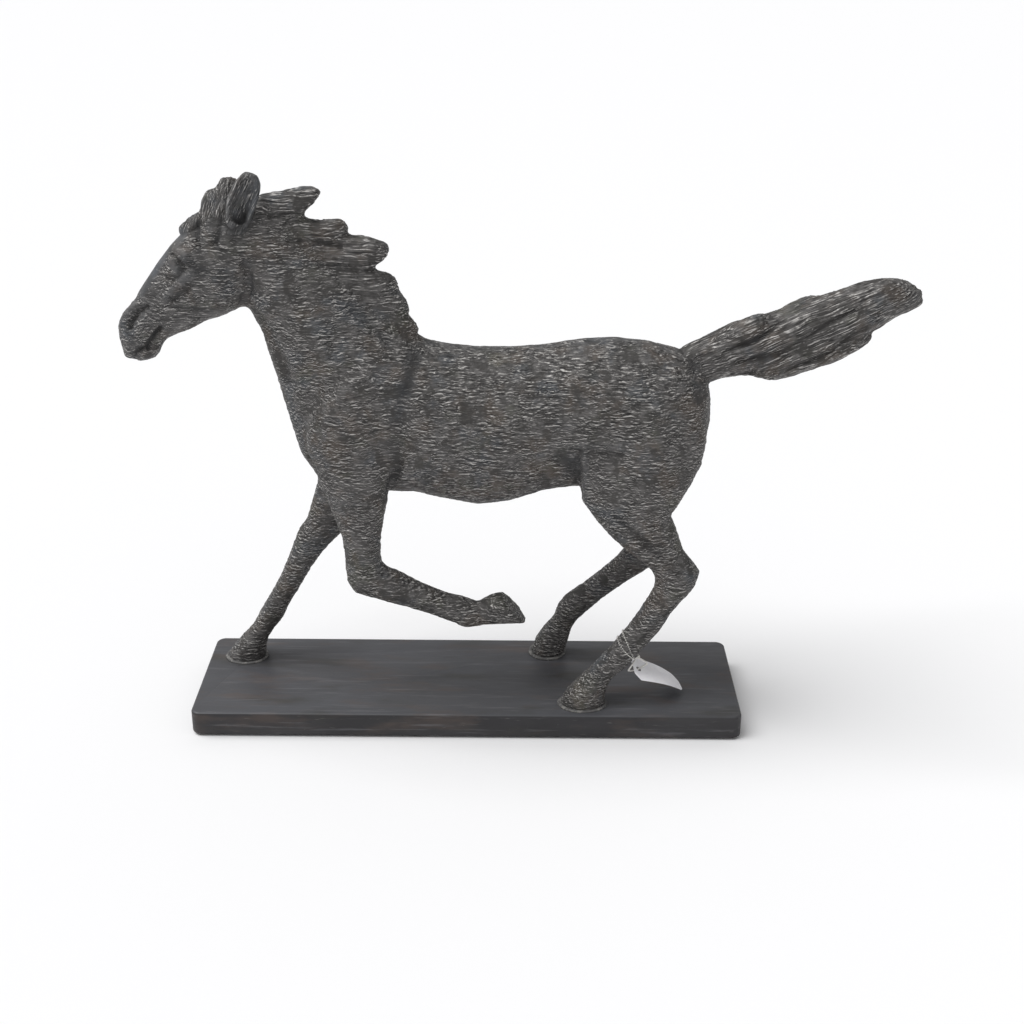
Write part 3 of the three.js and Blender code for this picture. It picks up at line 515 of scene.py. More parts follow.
def tool_features(skin):
    """Works every feature into the skin. Returns how dark and how smooth each vertex is."""
    points, normals = points_of(skin), normals_of(skin)
    dark, smooth = np.zeros(len(points)), np.zeros(len(points))
    bm = bmesh.new()
    bm.from_mesh(skin.data)
    tree = BVHTree.FromBMesh(bm)
    bm.free()
    for _, line, radius, depth, shade, rubbed, sides in BODY_FEATURES + HEAD_FEATURES:
        for side in sides:
            there = on_side(tree, line, side)
            if not there:
                continue
            low, high = np.min(there, axis=0) - radius, np.max(there, axis=0) + radius
            near = np.flatnonzero(np.all((points > low) & (points < high), axis=1))
            strength = fade(distance_to_line(points[near], there), radius)
            points[near] -= normals[near] * (depth * strength)[:, None]
            # The dark share is dark patina in the crease, deepened by painted shade.
            dark[near] = np.maximum(dark[near], shade * strength)
            smooth[near] = np.maximum(smooth[near], rubbed * np.minimum(1.6 * strength, 1))
    move_points(skin, points)
    relax(skin, 1)
    return dark, smooth


# ---- Surface relief -----------------------------------------------------------------------------

WANDER = 5.0  # how far the run of the strokes drifts, in mm
WANDER_SIZE = 30
CURL_SIZE = 13
SLOPE_STEP = 0.34  # between the two samples of a slope, as a share of the pitch
RELIEF_DEPTH = 0.85
# Length and pitch of the strokes in mm: those raised in the skin, then the finish's finer ones.
COAT_RELIEF, HAIR_RELIEF = (12.0, 3.4), (40.0, 5.5)
COAT_STROKES, HAIR_STROKES = (6.5, 1.75), (22.0, 1.8)
# The strokes run level along the body. These castings have their own run: its climb in
# degrees, and how much longer and finer its strokes are.
RUNS = {
    "forelock": (78, 1.3, 1.2),
    "tail": (23, 1.2, 1.0),
    "left_ear": (62, 2.0, 1.1),
    "right_ear": (80, 1.3, 1.2),
}
MUZZLE = -200.0  # in front of this x the strokes shorten to stipple


def flow_over(points, owners):
    """Where each vertex lies on the run of the strokes: along them, then twice across."""
    flow = points.copy()
    flow[:, 0] += 0.8 * np.minimum(flow[:, 0] - MUZZLE, 0)
    for node, (climb, longer, finer) in RUNS.items():
        mine = owners == CASTINGS.index(node)
        x, y, z = points[mine].T
        cos, sin = math.cos(math.radians(climb)), math.sin(math.radians(climb))
        flow[mine] = np.column_stack(
            ((x * cos + z * sin) / longer, y * finer, (z * cos - x * sin) * finer)
        )
    return flow


def strokes(tree, flow, length, pitch):
    """Overlapping tool strokes on the flow, that long and that far apart in mm. Returns the
    swell of the surface, and how steeply it turns up (above 0.5) or down across the run."""
    wide = {"Vector": flow, "Scale": 1 / WANDER_SIZE}
    drift = add(tree, "ShaderNodeTexNoise", wide, take="Color")
    bent = add(
        tree,
        "ShaderNodeVectorMath",
        {0: drift, 1: (WANDER, WANDER, WANDER), 2: flow},
        operation="MULTIPLY_ADD",
    )
    curl = add(tree, "ShaderNodeTexNoise", {"Vector": flow, "Scale": 1 / CURL_SIZE})
    curl = add(tree, "ShaderNodeMapRange", {"Value": curl, 1: 0.42, 2: 0.66, 3: 0.1, 4: 1.3})
    swells = []
    for shift in (0.0, SLOPE_STEP):
        cells = add(
            tree,
            "ShaderNodeVectorMath",
            {0: bent, 1: (1 / length, 1 / pitch, 1 / pitch), 2: (0.0, 0.0, shift)},
            operation="MULTIPLY_ADD",
        )
        settings = {"Vector": cells, "Scale": 1.0, "Detail": 2.0, "Roughness": 0.62}
        settings["Distortion"] = curl
        swells.append(add(tree, "ShaderNodeTexNoise", settings))
    slope = add(tree, "ShaderNodeMath", {0: swells[0], 1: swells[1]}, operation="SUBTRACT")
    return swells[0], slope


def relief_tree():
    """Geometry nodes that raise the skin by broad strokes, and hair by its strands."""
    tree = bpy.data.node_groups.new("tooled relief", "GeometryNodeTree")
    tree.interface.new_socket("Geometry", in_out="INPUT", socket_type="NodeSocketGeometry")
    tree.interface.new_socket("Geometry", in_out="OUTPUT", socket_type="NodeSocketGeometry")
    source = add(tree, "NodeGroupInput")
    named = "GeometryNodeInputNamedAttribute"
    flow = add(tree, named, {"Name": "flow"}, data_type="FLOAT_VECTOR")
    smooth = add(tree, named, {"Name": "smooth"}, data_type="FLOAT")
    hair = add(tree, named, {"Name": "hair"}, data_type="FLOAT")
    coat, _ = strokes(tree, flow, *COAT_RELIEF)
    strand, _ = strokes(tree, flow, *HAIR_RELIEF)
    height = add(tree, "ShaderNodeMix", {0: hair, 2: coat, 3: strand}, data_type="FLOAT")
    height = add(
        tree,
        "ShaderNodeMapRange",
        {"Value": height, 1: 0.3, 2: 0.72, 3: -0.55, 4: 0.45},
    )
    rough = add(
        tree,
        "ShaderNodeMapRange",
        {"Value": smooth, 1: 0.0, 2: 1.0, 3: RELIEF_DEPTH * MM, 4: 0.0},
    )
    rise = add(tree, "ShaderNodeMath", {0: height, 1: rough}, operation="MULTIPLY")
    more = add(tree, "ShaderNodeMapRange", {"Value": hair, 3: 1.0, 4: 1.9})
    rise = add(tree, "ShaderNodeMath", {0: rise, 1: more}, operation="MULTIPLY")
    outwards = add(tree, "GeometryNodeInputNormal")
    offset = add(tree, "ShaderNodeVectorMath", {0: outwards, "Scale": rise}, operation="SCALE")
    moved = add(tree, "GeometryNodeSetPosition", {"Geometry": source, "Offset": offset})
    add(tree, "NodeGroupOutput", {0: moved})
    return tree


# The back is rubbed over an arc round its axis, from behind the withers, and the feet in a
# band above the plinth.
BACK_AXIS_Z, BACK_ARC, BACK_START_X = 262, 0.55, -45
FOOT_RUB_Z, FOOT_RUB_HEIGHT = 19, 5


def texture_skin(skin, scores, edges, dark, smooth):
    """Gives each vertex its finish, then raises the relief."""
    points = points_of(skin)
    share = {node: scores[:, i] for i, node in enumerate(CASTINGS)}
    x, y, z = points.T
    hair = np.clip(share["mane"] + share["forelock"] + share["tail"] + share["right_ear"], 0, 1)
    # Rubbed smooth: the top of the back and croup, the cupped near ear, the face and the feet.
    back = fade(np.abs(np.arctan2(np.abs(y), z - BACK_AXIS_Z)), BACK_ARC) * share["trunk"]
    back *= np.clip((x - BACK_START_X) / 30, 0, 1)
    cup = 0.6 * share["left_ear"]
    face = 0.34 * share["head"] * np.clip((z + 2.1 * x + 105) / -40, 0.4, 1)
    feet = 0.6 * fade(z - FOOT_RUB_Z, FOOT_RUB_HEIGHT)
    smooth = np.maximum.reduce([smooth, 0.5 * back, cup, face, feet])
    for name, values in (
        ("flow", flow_over(points, scores.argmax(axis=1))),
        ("hair", hair),
        ("smooth", blurred(smooth, edges, 2)),
        ("dark", blurred(dark, edges, 1)),
    ):
        set_attribute(skin, name, values)
    modifier = skin.modifiers.new("relief", "NODES")
    modifier.node_group = relief_tree()
    applied(skin)
    # No stroke stands proud of the CAD model's box.
    low, high = (np.array(corner) / MM for corner in cad_box)
    move_points(skin, np.clip(points_of(skin), low, high))
    set_attribute(skin, "shading", normals_of(skin))


def whole_sections(skin, owner):
    """Gives each stray patch of faces to the section around it, so that no piece has holes."""
    used = np.empty(len(skin.data.loops), np.int32)
    skin.data.loops.foreach_get("edge_index", used)
    face = np.repeat(np.arange(len(owner)), np.diff(np.append(starts_of(skin), len(used))))
    order = np.argsort(used, kind="stable")
    used, face = used[order], face[order]
    twin = np.flatnonzero(used[1:] == used[:-1])
    pairs = np.column_stack((face[twin], face[twin + 1]))
    shell = shells(len(owner), pairs[owner[pairs[:, 0]] == owner[pairs[:, 1]]])
    sizes = np.bincount(shell, minlength=len(owner))
    for number in range(len(CASTINGS)):
        mine = np.flatnonzero(owner == number)
        largest = shell[mine][sizes[shell[mine]].argmax()]
        owner[mine[shell[mine] != largest]] = -1
    while np.any(owner < 0):
        for a, b in (pairs.T, pairs.T[::-1]):
            stray = (owner[a] < 0) & (owner[b] >= 0)
            owner[a[stray]] = owner[b[stray]]
    return owner


def starts_of(skin):
    starts = np.empty(len(skin.data.polygons), np.int32)
    skin.data.polygons.foreach_get("loop_start", starts)
    return starts


SAWN_EDGE = 2.0  # how far a section's edge turns in


def cut_sections(skin, scores):
    """Each casting as its own closed piece, cut from the skin along the weld lines.

    The pieces keep the whole skin's normals, so that the chased welds don't show.
    """
    loops = np.empty(len(skin.data.loops), np.int32)
    skin.data.loops.foreach_get("vertex_index", loops)
    owner = np.add.reduceat(scores[loops], starts_of(skin), axis=0).argmax(axis=1)
    owner = whole_sections(skin, owner)
    pieces = {}
    for number, node in enumerate(CASTINGS):
        bm = bmesh.new()
        bm.from_mesh(skin.data)
        bm.faces.ensure_lookup_table()
        others = [bm.faces[i] for i in np.flatnonzero(owner != number)]
        bmesh.ops.delete(bm, geom=others, context="FACES")
        # The sawn edge turns in under the skin before it is closed.
        outward = bm.verts.layers.float_vector["shading"]
        rims = [edge for edge in bm.edges if edge.is_boundary]
        turned_in = bmesh.ops.extrude_edge_only(bm, edges=rims)["geom"]
        for vert in turned_in:
            if isinstance(vert, bmesh.types.BMVert):
                vert.co -= vert[outward] * SAWN_EDGE * MM
        rims = [edge for edge in bm.edges if edge.is_boundary]
        caps = bmesh.ops.holes_fill(bm, edges=rims, sides=0)["faces"]
        bmesh.ops.poke(bm, faces=caps)
        piece = new_object(f"{node}_casting", bm)
        keep_largest(piece)
        set_smooth(piece)
        normals = np.empty(len(piece.data.vertices) * 3, np.float32)
        piece.data.attributes["shading"].data.foreach_get("vector", normals)
        piece.data.normals_split_custom_set_from_vertices(normals.reshape(-1, 3).tolist())
        piece.data.attributes.remove(piece.data.attributes["shading"])
        pieces[node] = piece
    bpy.data.objects.remove(skin)
    return pieces


# ---- Finishes -----------------------------------------------------------------------------------


def object_millimetres(tree):
    place = add(tree, "ShaderNodeTexCoord", take="Object")
    return add(tree, "ShaderNodeVectorMath", {0: place, "Scale": 1 / MM}, operation="SCALE")


def patches(tree, place, size, low, high, where=(0.0, 0.0, 0.0)):
    """Soft-edged patches about that many mm across: 0 outside them and 1 inside."""
    moved = add(tree, "ShaderNodeVectorMath", {0: place, 1: where}, operation="ADD")
    cloud = add(
        tree,
        "ShaderNodeTexNoise",
        {"Vector": moved, "Scale": 1 / size, "Detail": 3.0, "Roughness": 0.6},
    )
    return add(
        tree,
        "ShaderNodeMapRange",
        {"Value": cloud, 1: low, 2: high},
        interpolation_type="SMOOTHSTEP",
    )


def layered(tree, ground, *coats):
    """Colours laid over a ground, each with its share of the surface and its strength."""
    for share, strength, hex_code in coats:
        cover = add(tree, "ShaderNodeMath", {0: share, 1: strength}, operation="MULTIPLY")
        ground = add(
            tree,
            "ShaderNodeMix",
            {0: cover, 6: ground, 7: colour(hex_code)},
            take=2,
            data_type="RGBA",
        )
    return ground


def sulphured_bronze():
    """Cast bronze under a liver-of-sulphur patina, near black in the hollows, where painted shade
    deepens the creases. The thin edges of the tool strokes are rubbed bare and pale, with a
    painted highlight on the side of each stroke that faces up and painted shade on the side below
    it, and brown and blue-grey stain it in patches."""
    material, tree, shader = new_material("sulphured_bronze", "#4d4b49", Metallic=0.2)
    place = object_millimetres(tree)
    flow = add(tree, "ShaderNodeAttribute", take="Vector", attribute_name="flow")
    smooth = add(tree, "ShaderNodeAttribute", take="Fac", attribute_name="smooth")
    dark = add(tree, "ShaderNodeAttribute", take="Fac", attribute_name="dark")
    hair = add(tree, "ShaderNodeAttribute", take="Fac", attribute_name="hair")
    short, long = strokes(tree, flow, *COAT_STROKES), strokes(tree, flow, *HAIR_STROKES)
    swell, slope = [
        add(tree, "ShaderNodeMix", {0: hair, 2: a, 3: b}, data_type="FLOAT")
        for a, b in zip(short, long)
    ]
    ragged = patches(tree, place, 5, 0.3, 0.7, (5.0, 0.0, 0.0))
    rough = add(tree, "ShaderNodeMath", {0: ragged, 1: 0.6, 2: 0.7}, operation="MULTIPLY_ADD")
    rough = add(tree, "ShaderNodeMath", {0: rough, 1: smooth}, operation="SUBTRACT")
    rough = add(tree, "ShaderNodeMapRange", {"Value": rough, 1: 0.1, 2: 0.6})
    lined = patches(tree, place, 12, 0.34, 0.56)
    lined = add(tree, "ShaderNodeMapRange", {"Value": lined, 3: 0.3, 4: 1.0})
    lined = add(tree, "ShaderNodeMath", {0: lined, 1: rough}, operation="MULTIPLY")
    bare = patches(tree, place, 13, 0.565, 0.64, (31.0, 12.0, 77.0))
    uncut = add(tree, "ShaderNodeMapRange", {"Value": bare, 3: 1.0, 4: 0.12})
    lined = add(tree, "ShaderNodeMath", {0: lined, 1: uncut}, operation="MULTIPLY")
    # Painted highlight, together with the rubbed pale edge: the pale ridge is laid only on the
    # side of each stroke that faces up, where light from above falls.
    ridge = add(tree, "ShaderNodeMapRange", {"Value": slope, 1: 0.045, 2: 0.15})
    ridge = add(tree, "ShaderNodeMath", {0: ridge, 1: lined}, operation="MULTIPLY")
    caught = patches(tree, place, 3, 0.36, 0.56, (1.0, 50.0, 6.0))
    caught = add(tree, "ShaderNodeMapRange", {"Value": caught, 3: 0.4, 4: 1.0})
    ridge = add(tree, "ShaderNodeMath", {0: ridge, 1: caught}, operation="MULTIPLY")
    # Painted shade: near black on the side of each stroke that faces down, below its ridge, where
    # light from above doesn't reach.
    groove = add(tree, "ShaderNodeMapRange", {"Value": slope, 1: -0.02, 2: -0.13})
    groove = add(tree, "ShaderNodeMath", {0: groove, 1: lined}, operation="MULTIPLY")
    ground = layered(
        tree,
        colour("#4a4847"),
        (patches(tree, place, 9, 0.42, 0.62, (44.0, 3.0, 8.0)), 0.7, "#666463"),
        (patches(tree, place, 24, 0.5, 0.66, (70.0, 0.0, 9.0)), 0.4, "#5d5044"),
        (patches(tree, place, 27, 0.52, 0.68, (0.0, 90.0, 31.0)), 0.4, "#48515a"),
        (patches(tree, place, 21, 0.54, 0.7, (30.0, 40.0, 80.0)), 0.3, "#4d5040"),
        (patches(tree, place, 12, 0.55, 0.66, (11.0, 5.0, 60.0)), 0.6, "#302f2d"),
        (bare, 0.7, "#363432"),
        (smooth, 0.35, "#60646a"),
        # Painted shade below each stroke, a painted highlight with the rubbed edge on its upper
        # side, and dark patina with painted shade in the creases.
        (groove, 0.85, "#161515"),
        (ridge, 1.0, "#c6c3c0"),
        (dark, 0.8, "#1d1c1c"),
    )
    tree.links.new(ground, shader.inputs["Base Color"])
    worn = add(tree, "ShaderNodeMapRange", {"Value": ridge, 3: 0.66, 4: 0.42})
    tree.links.new(worn, shader.inputs["Roughness"])
    grit = add(
        tree,
        "ShaderNodeTexNoise",
        {"Vector": flow, "Scale": 0.9, "Detail": 3.0, "Roughness": 0.65},
    )
    height = add(tree, "ShaderNodeMath", {0: ridge, 1: 0.3, 2: swell}, operation="MULTIPLY_ADD")
    height = add(tree, "ShaderNodeMath", {0: grit, 1: 0.35, 2: height}, operation="MULTIPLY_ADD")
    bump = add(
        tree,
        "ShaderNodeBump",
        {"Height": height, "Distance": 0.75 * MM, "Strength": rough},
    )
    tree.links.new(bump, shader.inputs["Normal"])
    return material


PLINTH_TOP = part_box("plinth")[1][2] / MM


def waxed_plinth_bronze():
    """The same bronze with a smooth file-finished face, dark and satin, with wipe marks in the
    wax, brown stains, a few fine scratches and pale specks. Its top face is painted lighter and
    its sides darker, as light from above would leave them."""
    material, tree, shader = new_material("waxed_plinth_bronze", "#4a4a4c", Metallic=0.2)
    place = object_millimetres(tree)
    wide = add(
        tree,
        "ShaderNodeVectorMath",
        {0: place, 1: (0.3, 1.0, 1.0)},
        operation="MULTIPLY",
    )
    streak = add(
        tree,
        "ShaderNodeVectorMath",
        {0: place, 1: (0.06, 1.0, 1.0)},
        operation="MULTIPLY",
    )
    height = add(tree, "ShaderNodeSeparateXYZ", {"Vector": place}, take=2)
    # Painted light and shade: the top face is painted pale and the sides keep a darker ground, as
    # light from above would leave them.
    top = add(tree, "ShaderNodeMapRange", {"Value": height, 1: PLINTH_TOP - 1.2, 2: PLINTH_TOP})
    ground = layered(
        tree,
        # Painted shade: the sides keep this dark ground.
        colour("#2a292b"),
        (patches(tree, wide, 30, 0.38, 0.66), 0.6, "#333235"),
        # Painted light: the top face is painted pale.
        (top, 0.88, "#545559"),
        (patches(tree, wide, 34, 0.4, 0.62, (9.0, 70.0, 3.0)), 0.4, "#424143"),
        (patches(tree, wide, 17, 0.5, 0.7, (20.0, 0.0, 40.0)), 0.35, "#5f5047"),
        (patches(tree, wide, 22, 0.54, 0.72, (50.0, 12.0, 0.0)), 0.5, "#3a3934"),
        (patches(tree, streak, 2.6, 0.54, 0.74), 0.3, "#7d7c80"),
        (patches(tree, streak, 0.9, 0.66, 0.8, (3.0, 9.0, 1.0)), 0.35, "#97948f"),
        (patches(tree, place, 1.3, 0.7, 0.8), 0.4, "#9a9792"),
    )
    tree.links.new(ground, shader.inputs["Base Color"])
    cloud = patches(tree, wide, 26, 0.3, 0.7)
    satin = add(tree, "ShaderNodeMapRange", {"Value": cloud, 3: 0.42, 4: 0.6})
    tree.links.new(satin, shader.inputs["Roughness"])
    waves = add(tree, "ShaderNodeTexNoise", {"Vector": wide, "Scale": 1 / 16, "Detail": 3.0})
    pits = add(tree, "ShaderNodeTexNoise", {"Vector": place, "Scale": 0.5, "Detail": 3.0})
    height = add(tree, "ShaderNodeMath", {0: pits, 1: 0.12, 2: waves}, operation="MULTIPLY_ADD")
    bump = add(tree, "ShaderNodeBump", {"Height": height, "Distance": 1.2 * MM, "Strength": 0.4})
    tree.links.new(bump, shader.inputs["Normal"])
    return material


def bedding_compound():
    """Grey filler pressed in under each hoof and wiped off, with a dry uneven surface."""
    material, tree, shader = new_material("bedding_compound", "#8f8e8b", Roughness=0.7)
    place = object_millimetres(tree)
    ground = layered(
        tree,
        colour("#555454"),
        (patches(tree, place, 5, 0.5, 0.62), 0.6, "#8f8d89"),
        (patches(tree, place, 1.4, 0.5, 0.7), 0.4, "#a09e9a"),
    )
    tree.links.new(ground, shader.inputs["Base Color"])
    grit = add(tree, "ShaderNodeTexNoise", {"Vector": place, "Scale": 1.6, "Detail": 3.0})
    bump = add(tree, "ShaderNodeBump", {"Height": grit, "Distance": 0.25 * MM})
    tree.links.new(bump, shader.inputs["Normal"])
    return material


def zinc_plate():
    """Bright zinc-plated steel with a faint grain from the plating drum."""
    material, tree, shader = new_material("zinc_plate", "#a7a9ac", Metallic=1.0)
    place = object_millimetres(tree)
    grain = patches(tree, place, 0.9, 0.3, 0.7)
    ground = layered(tree, colour("#9a9c9f"), (grain, 1.0, "#b8b9ba"))
    tree.links.new(ground, shader.inputs["Base Color"])
    gloss = add(tree, "ShaderNodeMapRange", {"Value": grain, 3: 0.28, 4: 0.42})
    tree.links.new(gloss, shader.inputs["Roughness"])
    return material


def pressed_felt():
    """Pressed wool felt: matte, with matted fibres that catch the light."""
    material, tree, shader = new_material("pressed_felt", "#24262a", Roughness=0.95)
    shader.inputs["Sheen Weight"].default_value = 0.4
    place = object_millimetres(tree)
    fibre = add(
        tree,
        "ShaderNodeTexNoise",
        {"Vector": place, "Scale": 1.6, "Detail": 4.0, "Roughness": 0.7, "Distortion": 1.5},
    )
    ground = layered(tree, colour("#1d1f22"), (fibre, 1.0, "#34373c"))
    tree.links.new(ground, shader.inputs["Base Color"])
    bump = add(tree, "ShaderNodeBump", {"Height": fibre, "Distance": 0.3 * MM, "Strength": 0.8})
    tree.links.new(bump, shader.inputs["Normal"])
    return material


def spun_cotton():
    """Unbleached cotton string, with loose fibres that blur its edge."""
    material, tree, shader = new_material("spun_cotton", "#d9d6cf", Roughness=0.88)
    shader.inputs["Sheen Weight"].default_value = 0.3
    place = object_millimetres(tree)
    fuzz = add(
        tree,
        "ShaderNodeTexNoise",
        {"Vector": place, "Scale": 2.2, "Detail": 3.0, "Roughness": 0.7},
    )
    ground = layered(tree, colour("#d2cfc9"), (fuzz, 1.0, "#fbf9f5"))
    tree.links.new(ground, shader.inputs["Base Color"])
    bump = add(tree, "ShaderNodeBump", {"Height": fuzz, "Distance": 0.15 * MM})
    tree.links.new(bump, shader.inputs["Normal"])
    return material


def tag_card():
    """Uncoated white card, with a slight cloudiness and fibres in its surface."""
    material, tree, shader = new_material("tag_card", "#e9e8ec", Roughness=0.75)
    place = object_millimetres(tree)
    ground = layered(
        tree,
        colour("#f9f8fb"),
        (patches(tree, place, 7, 0.35, 0.65), 0.6, "#efeef3"),
        (patches(tree, place, 1.2, 0.5, 0.8), 0.3, "#f6f5f8"),
    )
    tree.links.new(ground, shader.inputs["Base Color"])
    fibre = add(tree, "ShaderNodeTexNoise", {"Vector": place, "Scale": 2.5, "Detail": 3.0})
    bump = add(tree, "ShaderNodeBump", {"Height": fibre, "Distance": 0.05 * MM, "Strength": 0.5})
    tree.links.new(bump, shader.inputs["Normal"])
    return material


# ---- Making the pieces --------------------------------------------------------------------------


def finish_piece(piece, material, slot, *nodes):
    piece.data.materials.clear()
    piece.data.materials.append(material)
    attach(piece, "root")
    if nodes:
        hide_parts(*nodes)


def dress(node, material):
    """A CAD node stays as it is and takes the material."""
    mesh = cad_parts[node].data
    mesh.materials.clear()
    mesh.materials.append(material)


def make_castings(material):
    skin = make_skin()
    edges = edges_of(skin)
    scores = section_scores(points_of(skin), edges)
    dark, smooth = tool_features(skin)
    texture_skin(skin, scores, edges, dark, smooth)
    pieces = cut_sections(skin, scores)
    for node, piece in pieces.items():
        finish_piece(piece, material, "bronze", node)
    return pieces


# The bedding bead's section: share of the outer radius, and share of its height.
BEAD_SECTION = [(0.97, 0.0), (0.95, 0.5), (0.92, 0.85), (0.87, 0.95), (0.78, 0.75), (0.68, 0.0)]
BEAD_SEGMENTS = 72
BEAD_SINK = 0.3  # how far it reaches down into the plinth, in mm


def make_bead(foot, finish):
    """A low uneven mound of filler on the plinth, tucked in under the hoof."""
    node = f"bedding_bead_{foot}"
    low, high = (Vector(corner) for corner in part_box(node))
    middle, half = (low + high) / 2, (high - low) / 2
    bm = bmesh.new()
    rings = []
    for reach, rise in BEAD_SECTION:
        made = bmesh.ops.create_circle(bm, segments=BEAD_SEGMENTS, radius=1.0)["verts"]
        for vert in made:
            angle = math.atan2(vert.co.y, vert.co.x)
            around = Vector((1.6 * math.cos(angle), 1.6 * math.sin(angle), low.x * 60))
            wobble = noise.noise(around)
            out = reach * (1 + 0.035 * wobble)
            vert.co = Vector((out * half.x * vert.co.x, out * half.y * vert.co.y, 0)) + middle
            vert.co.z = low.z - BEAD_SINK * MM + rise * (high.z - low.z) * (1 + 0.35 * wobble)
        rings.append([edge for edge in bm.edges if edge.verts[0] in made])
    for outer, inner in zip(rings, rings[1:] + rings[:1]):
        bmesh.ops.bridge_loops(bm, edges=outer + inner)
    bmesh.ops.recalc_face_normals(bm, faces=bm.faces)
    bead = new_object(f"bead_{foot}", bm)
    set_smooth(bead)
    finish_piece(bead, finish, "plinth_bronze", node)


def make_base(plinth_finish, filler, felt, steel):
    plinth = new_object("plinth_casting", merged_copy("plinth"))
    set_smooth(plinth)
    plinth.data.set_sharp_from_angle(angle=math.radians(40))
    finish_piece(plinth, plinth_finish, "plinth_bronze", "plinth")
    dress("felt_underlay", felt)
    for foot in ("right_fore", "left_hind", "right_hind"):
        make_bead(foot, filler)
        for part in ("stud", "washer", "nut"):
            dress(f"{part}_{foot}", steel)


# ---- Swing tag and string -----------------------------------------------------------------------

STRING = 1.2
TWIST = 3.4  # length of string in one turn of its two plies
PLY_POINTS = 12
KNOT_AT = Vector((124.53, -37.02, 57.31))
# The slack loop, from the knot through the tag's eyelet and back.
LOOP_ROUTE = [
    (125.31, -37.02, 56.41),
    (131.69, -35.2, 51.03),
    (128.94, -35.21, 48.55),
    (125.72, -36.62, 47.02),
    (122.57, -37.56, 46.34),
    (118.07, -41.07, 47.9),
    (119.21, -42.97, 51.99),
    (123.75, -37.02, 56.41),
]
# The turns round the leg cross it from a high point in front to a low point behind.
TURN_FRONT = Vector((109.5, -36, 71.1))
TURN_BACK = Vector((122.2, -37, 57.4))
TURN_SPREAD = 6.3  # between the two turns, in front
TURN_RISE = 3.5  # how far both lie up the leg from that line, in front
CLEAR_OF_LEG = 40


def smooth_route(route, step):
    """Points about a step apart on a Catmull-Rom curve through the route."""
    ends = [2 * route[0] - route[1], *route, 2 * route[-1] - route[-2]]
    made = []
    for a, b, c, d in zip(ends[:-3], ends[1:-2], ends[2:-1], ends[3:]):
        count = max(2, round((c - b).length / step))
        for i in range(count):
            t = i / count
            bend = 2 * a - 5 * b + 4 * c - d
            made.append(b + 0.5 * t * (c - a + t * (bend + t * (3 * b - a - 3 * c + d))))
    return made + [route[-1]]


def twisted_string(name, route, finish):
    """String of two plies along a route in mm: a pinched section that turns as it goes."""
    profile = bpy.data.curves.new("plies", "CURVE")
    ring = profile.splines.new("POLY")
    ring.points.add(PLY_POINTS - 1)
    ring.use_cyclic_u = True
    for i, point in enumerate(ring.points):
        angle = 2 * math.pi * i / PLY_POINTS
        reach = STRING / 2 * MM * (0.98 + 0.16 * math.cos(2 * angle))
        point.co = (reach * math.cos(angle), reach * math.sin(angle), 0, 1)
    section = bpy.data.objects.new("plies", profile)
    bpy.context.scene.collection.objects.link(section)

    line = bpy.data.curves.new(name, "CURVE")
    line.dimensions = "3D"
    line.bevel_mode = "OBJECT"
    line.bevel_object = section
    line.use_fill_caps = True
    spline = line.splines.new("POLY")
    spline.points.add(len(route) - 1)
    run = 0.0
    for i, (point, place) in enumerate(zip(spline.points, route)):
        run += (place - route[i - 1]).length if i else 0.0
        point.co = (*(place * MM), 1)
        point.tilt = 2 * math.pi * run / TWIST
    guide = bpy.data.objects.new(name, line)
    bpy.context.scene.collection.objects.link(guide)
    depsgraph = bpy.context.evaluated_depsgraph_get()
    mesh = bpy.data.meshes.new_from_object(guide.evaluated_get(depsgraph))
    bpy.data.objects.remove(guide)
    bpy.data.objects.remove(section)
    bm = bmesh.new()
    bm.from_mesh(mesh)
    bpy.data.meshes.remove(mesh)
    bmesh.ops.remove_doubles(bm, verts=bm.verts, dist=1e-6)
    bmesh.ops.recalc_face_normals(bm, faces=bm.faces)
    string = new_object(name, bm)
    set_smooth(string)
    finish_piece(string, finish, "cotton")
    return string, run


def turns_route(leg):
    """Two turns that hug the leg's skin, drawn together at the knot behind it."""
    bm = bmesh.new()
    bm.from_mesh(leg.data)
    tree = BVHTree.FromBMesh(bm)
    bm.free()
    middle = (TURN_FRONT + TURN_BACK) / 2
    front = (TURN_FRONT - middle).normalized()
    side = Vector((0, -1, 0))
    down_the_leg = side.cross(front)
    steps = 72
    route = [KNOT_AT]
    for i in range(1, steps):
        share = i / steps
        angle = math.pi + 4 * math.pi * share
        to_front = (1 + math.cos(angle)) / 2
        drop = (TURN_SPREAD * (0.5 if share > 0.5 else -0.5) - TURN_RISE) * to_front
        outwards = front * math.cos(angle) + side * math.sin(angle)
        start = middle + down_the_leg * drop + outwards * CLEAR_OF_LEG
        hit = tree.ray_cast(start * MM, -outwards)[0]
        route.append(hit / MM + outwards * STRING * 0.45)
    return route + [KNOT_AT]


def knot_route():
    """A small hard knot: the string wound over itself in a ball."""
    steps = 60
    route = []
    for i in range(steps + 1):
        turn = 2 * math.pi * i / steps
        reach = 0.85 + 0.35 * math.cos(3 * turn)
        wound = (reach * math.cos(2 * turn), reach * math.sin(2 * turn), 0.9 * math.sin(3 * turn))
        route.append(KNOT_AT + Vector(wound))
    return route


def make_string(leg, finish):
    turns, _ = twisted_string("string_turns", turns_route(leg), finish)
    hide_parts("tag_string")
    knot, _ = twisted_string("string_knot", knot_route(), finish)
    route = smooth_route([Vector(point) for point in LOOP_ROUTE], 0.5)
    loop, length = twisted_string("string_loop", route, finish)
    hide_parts("tag_string")


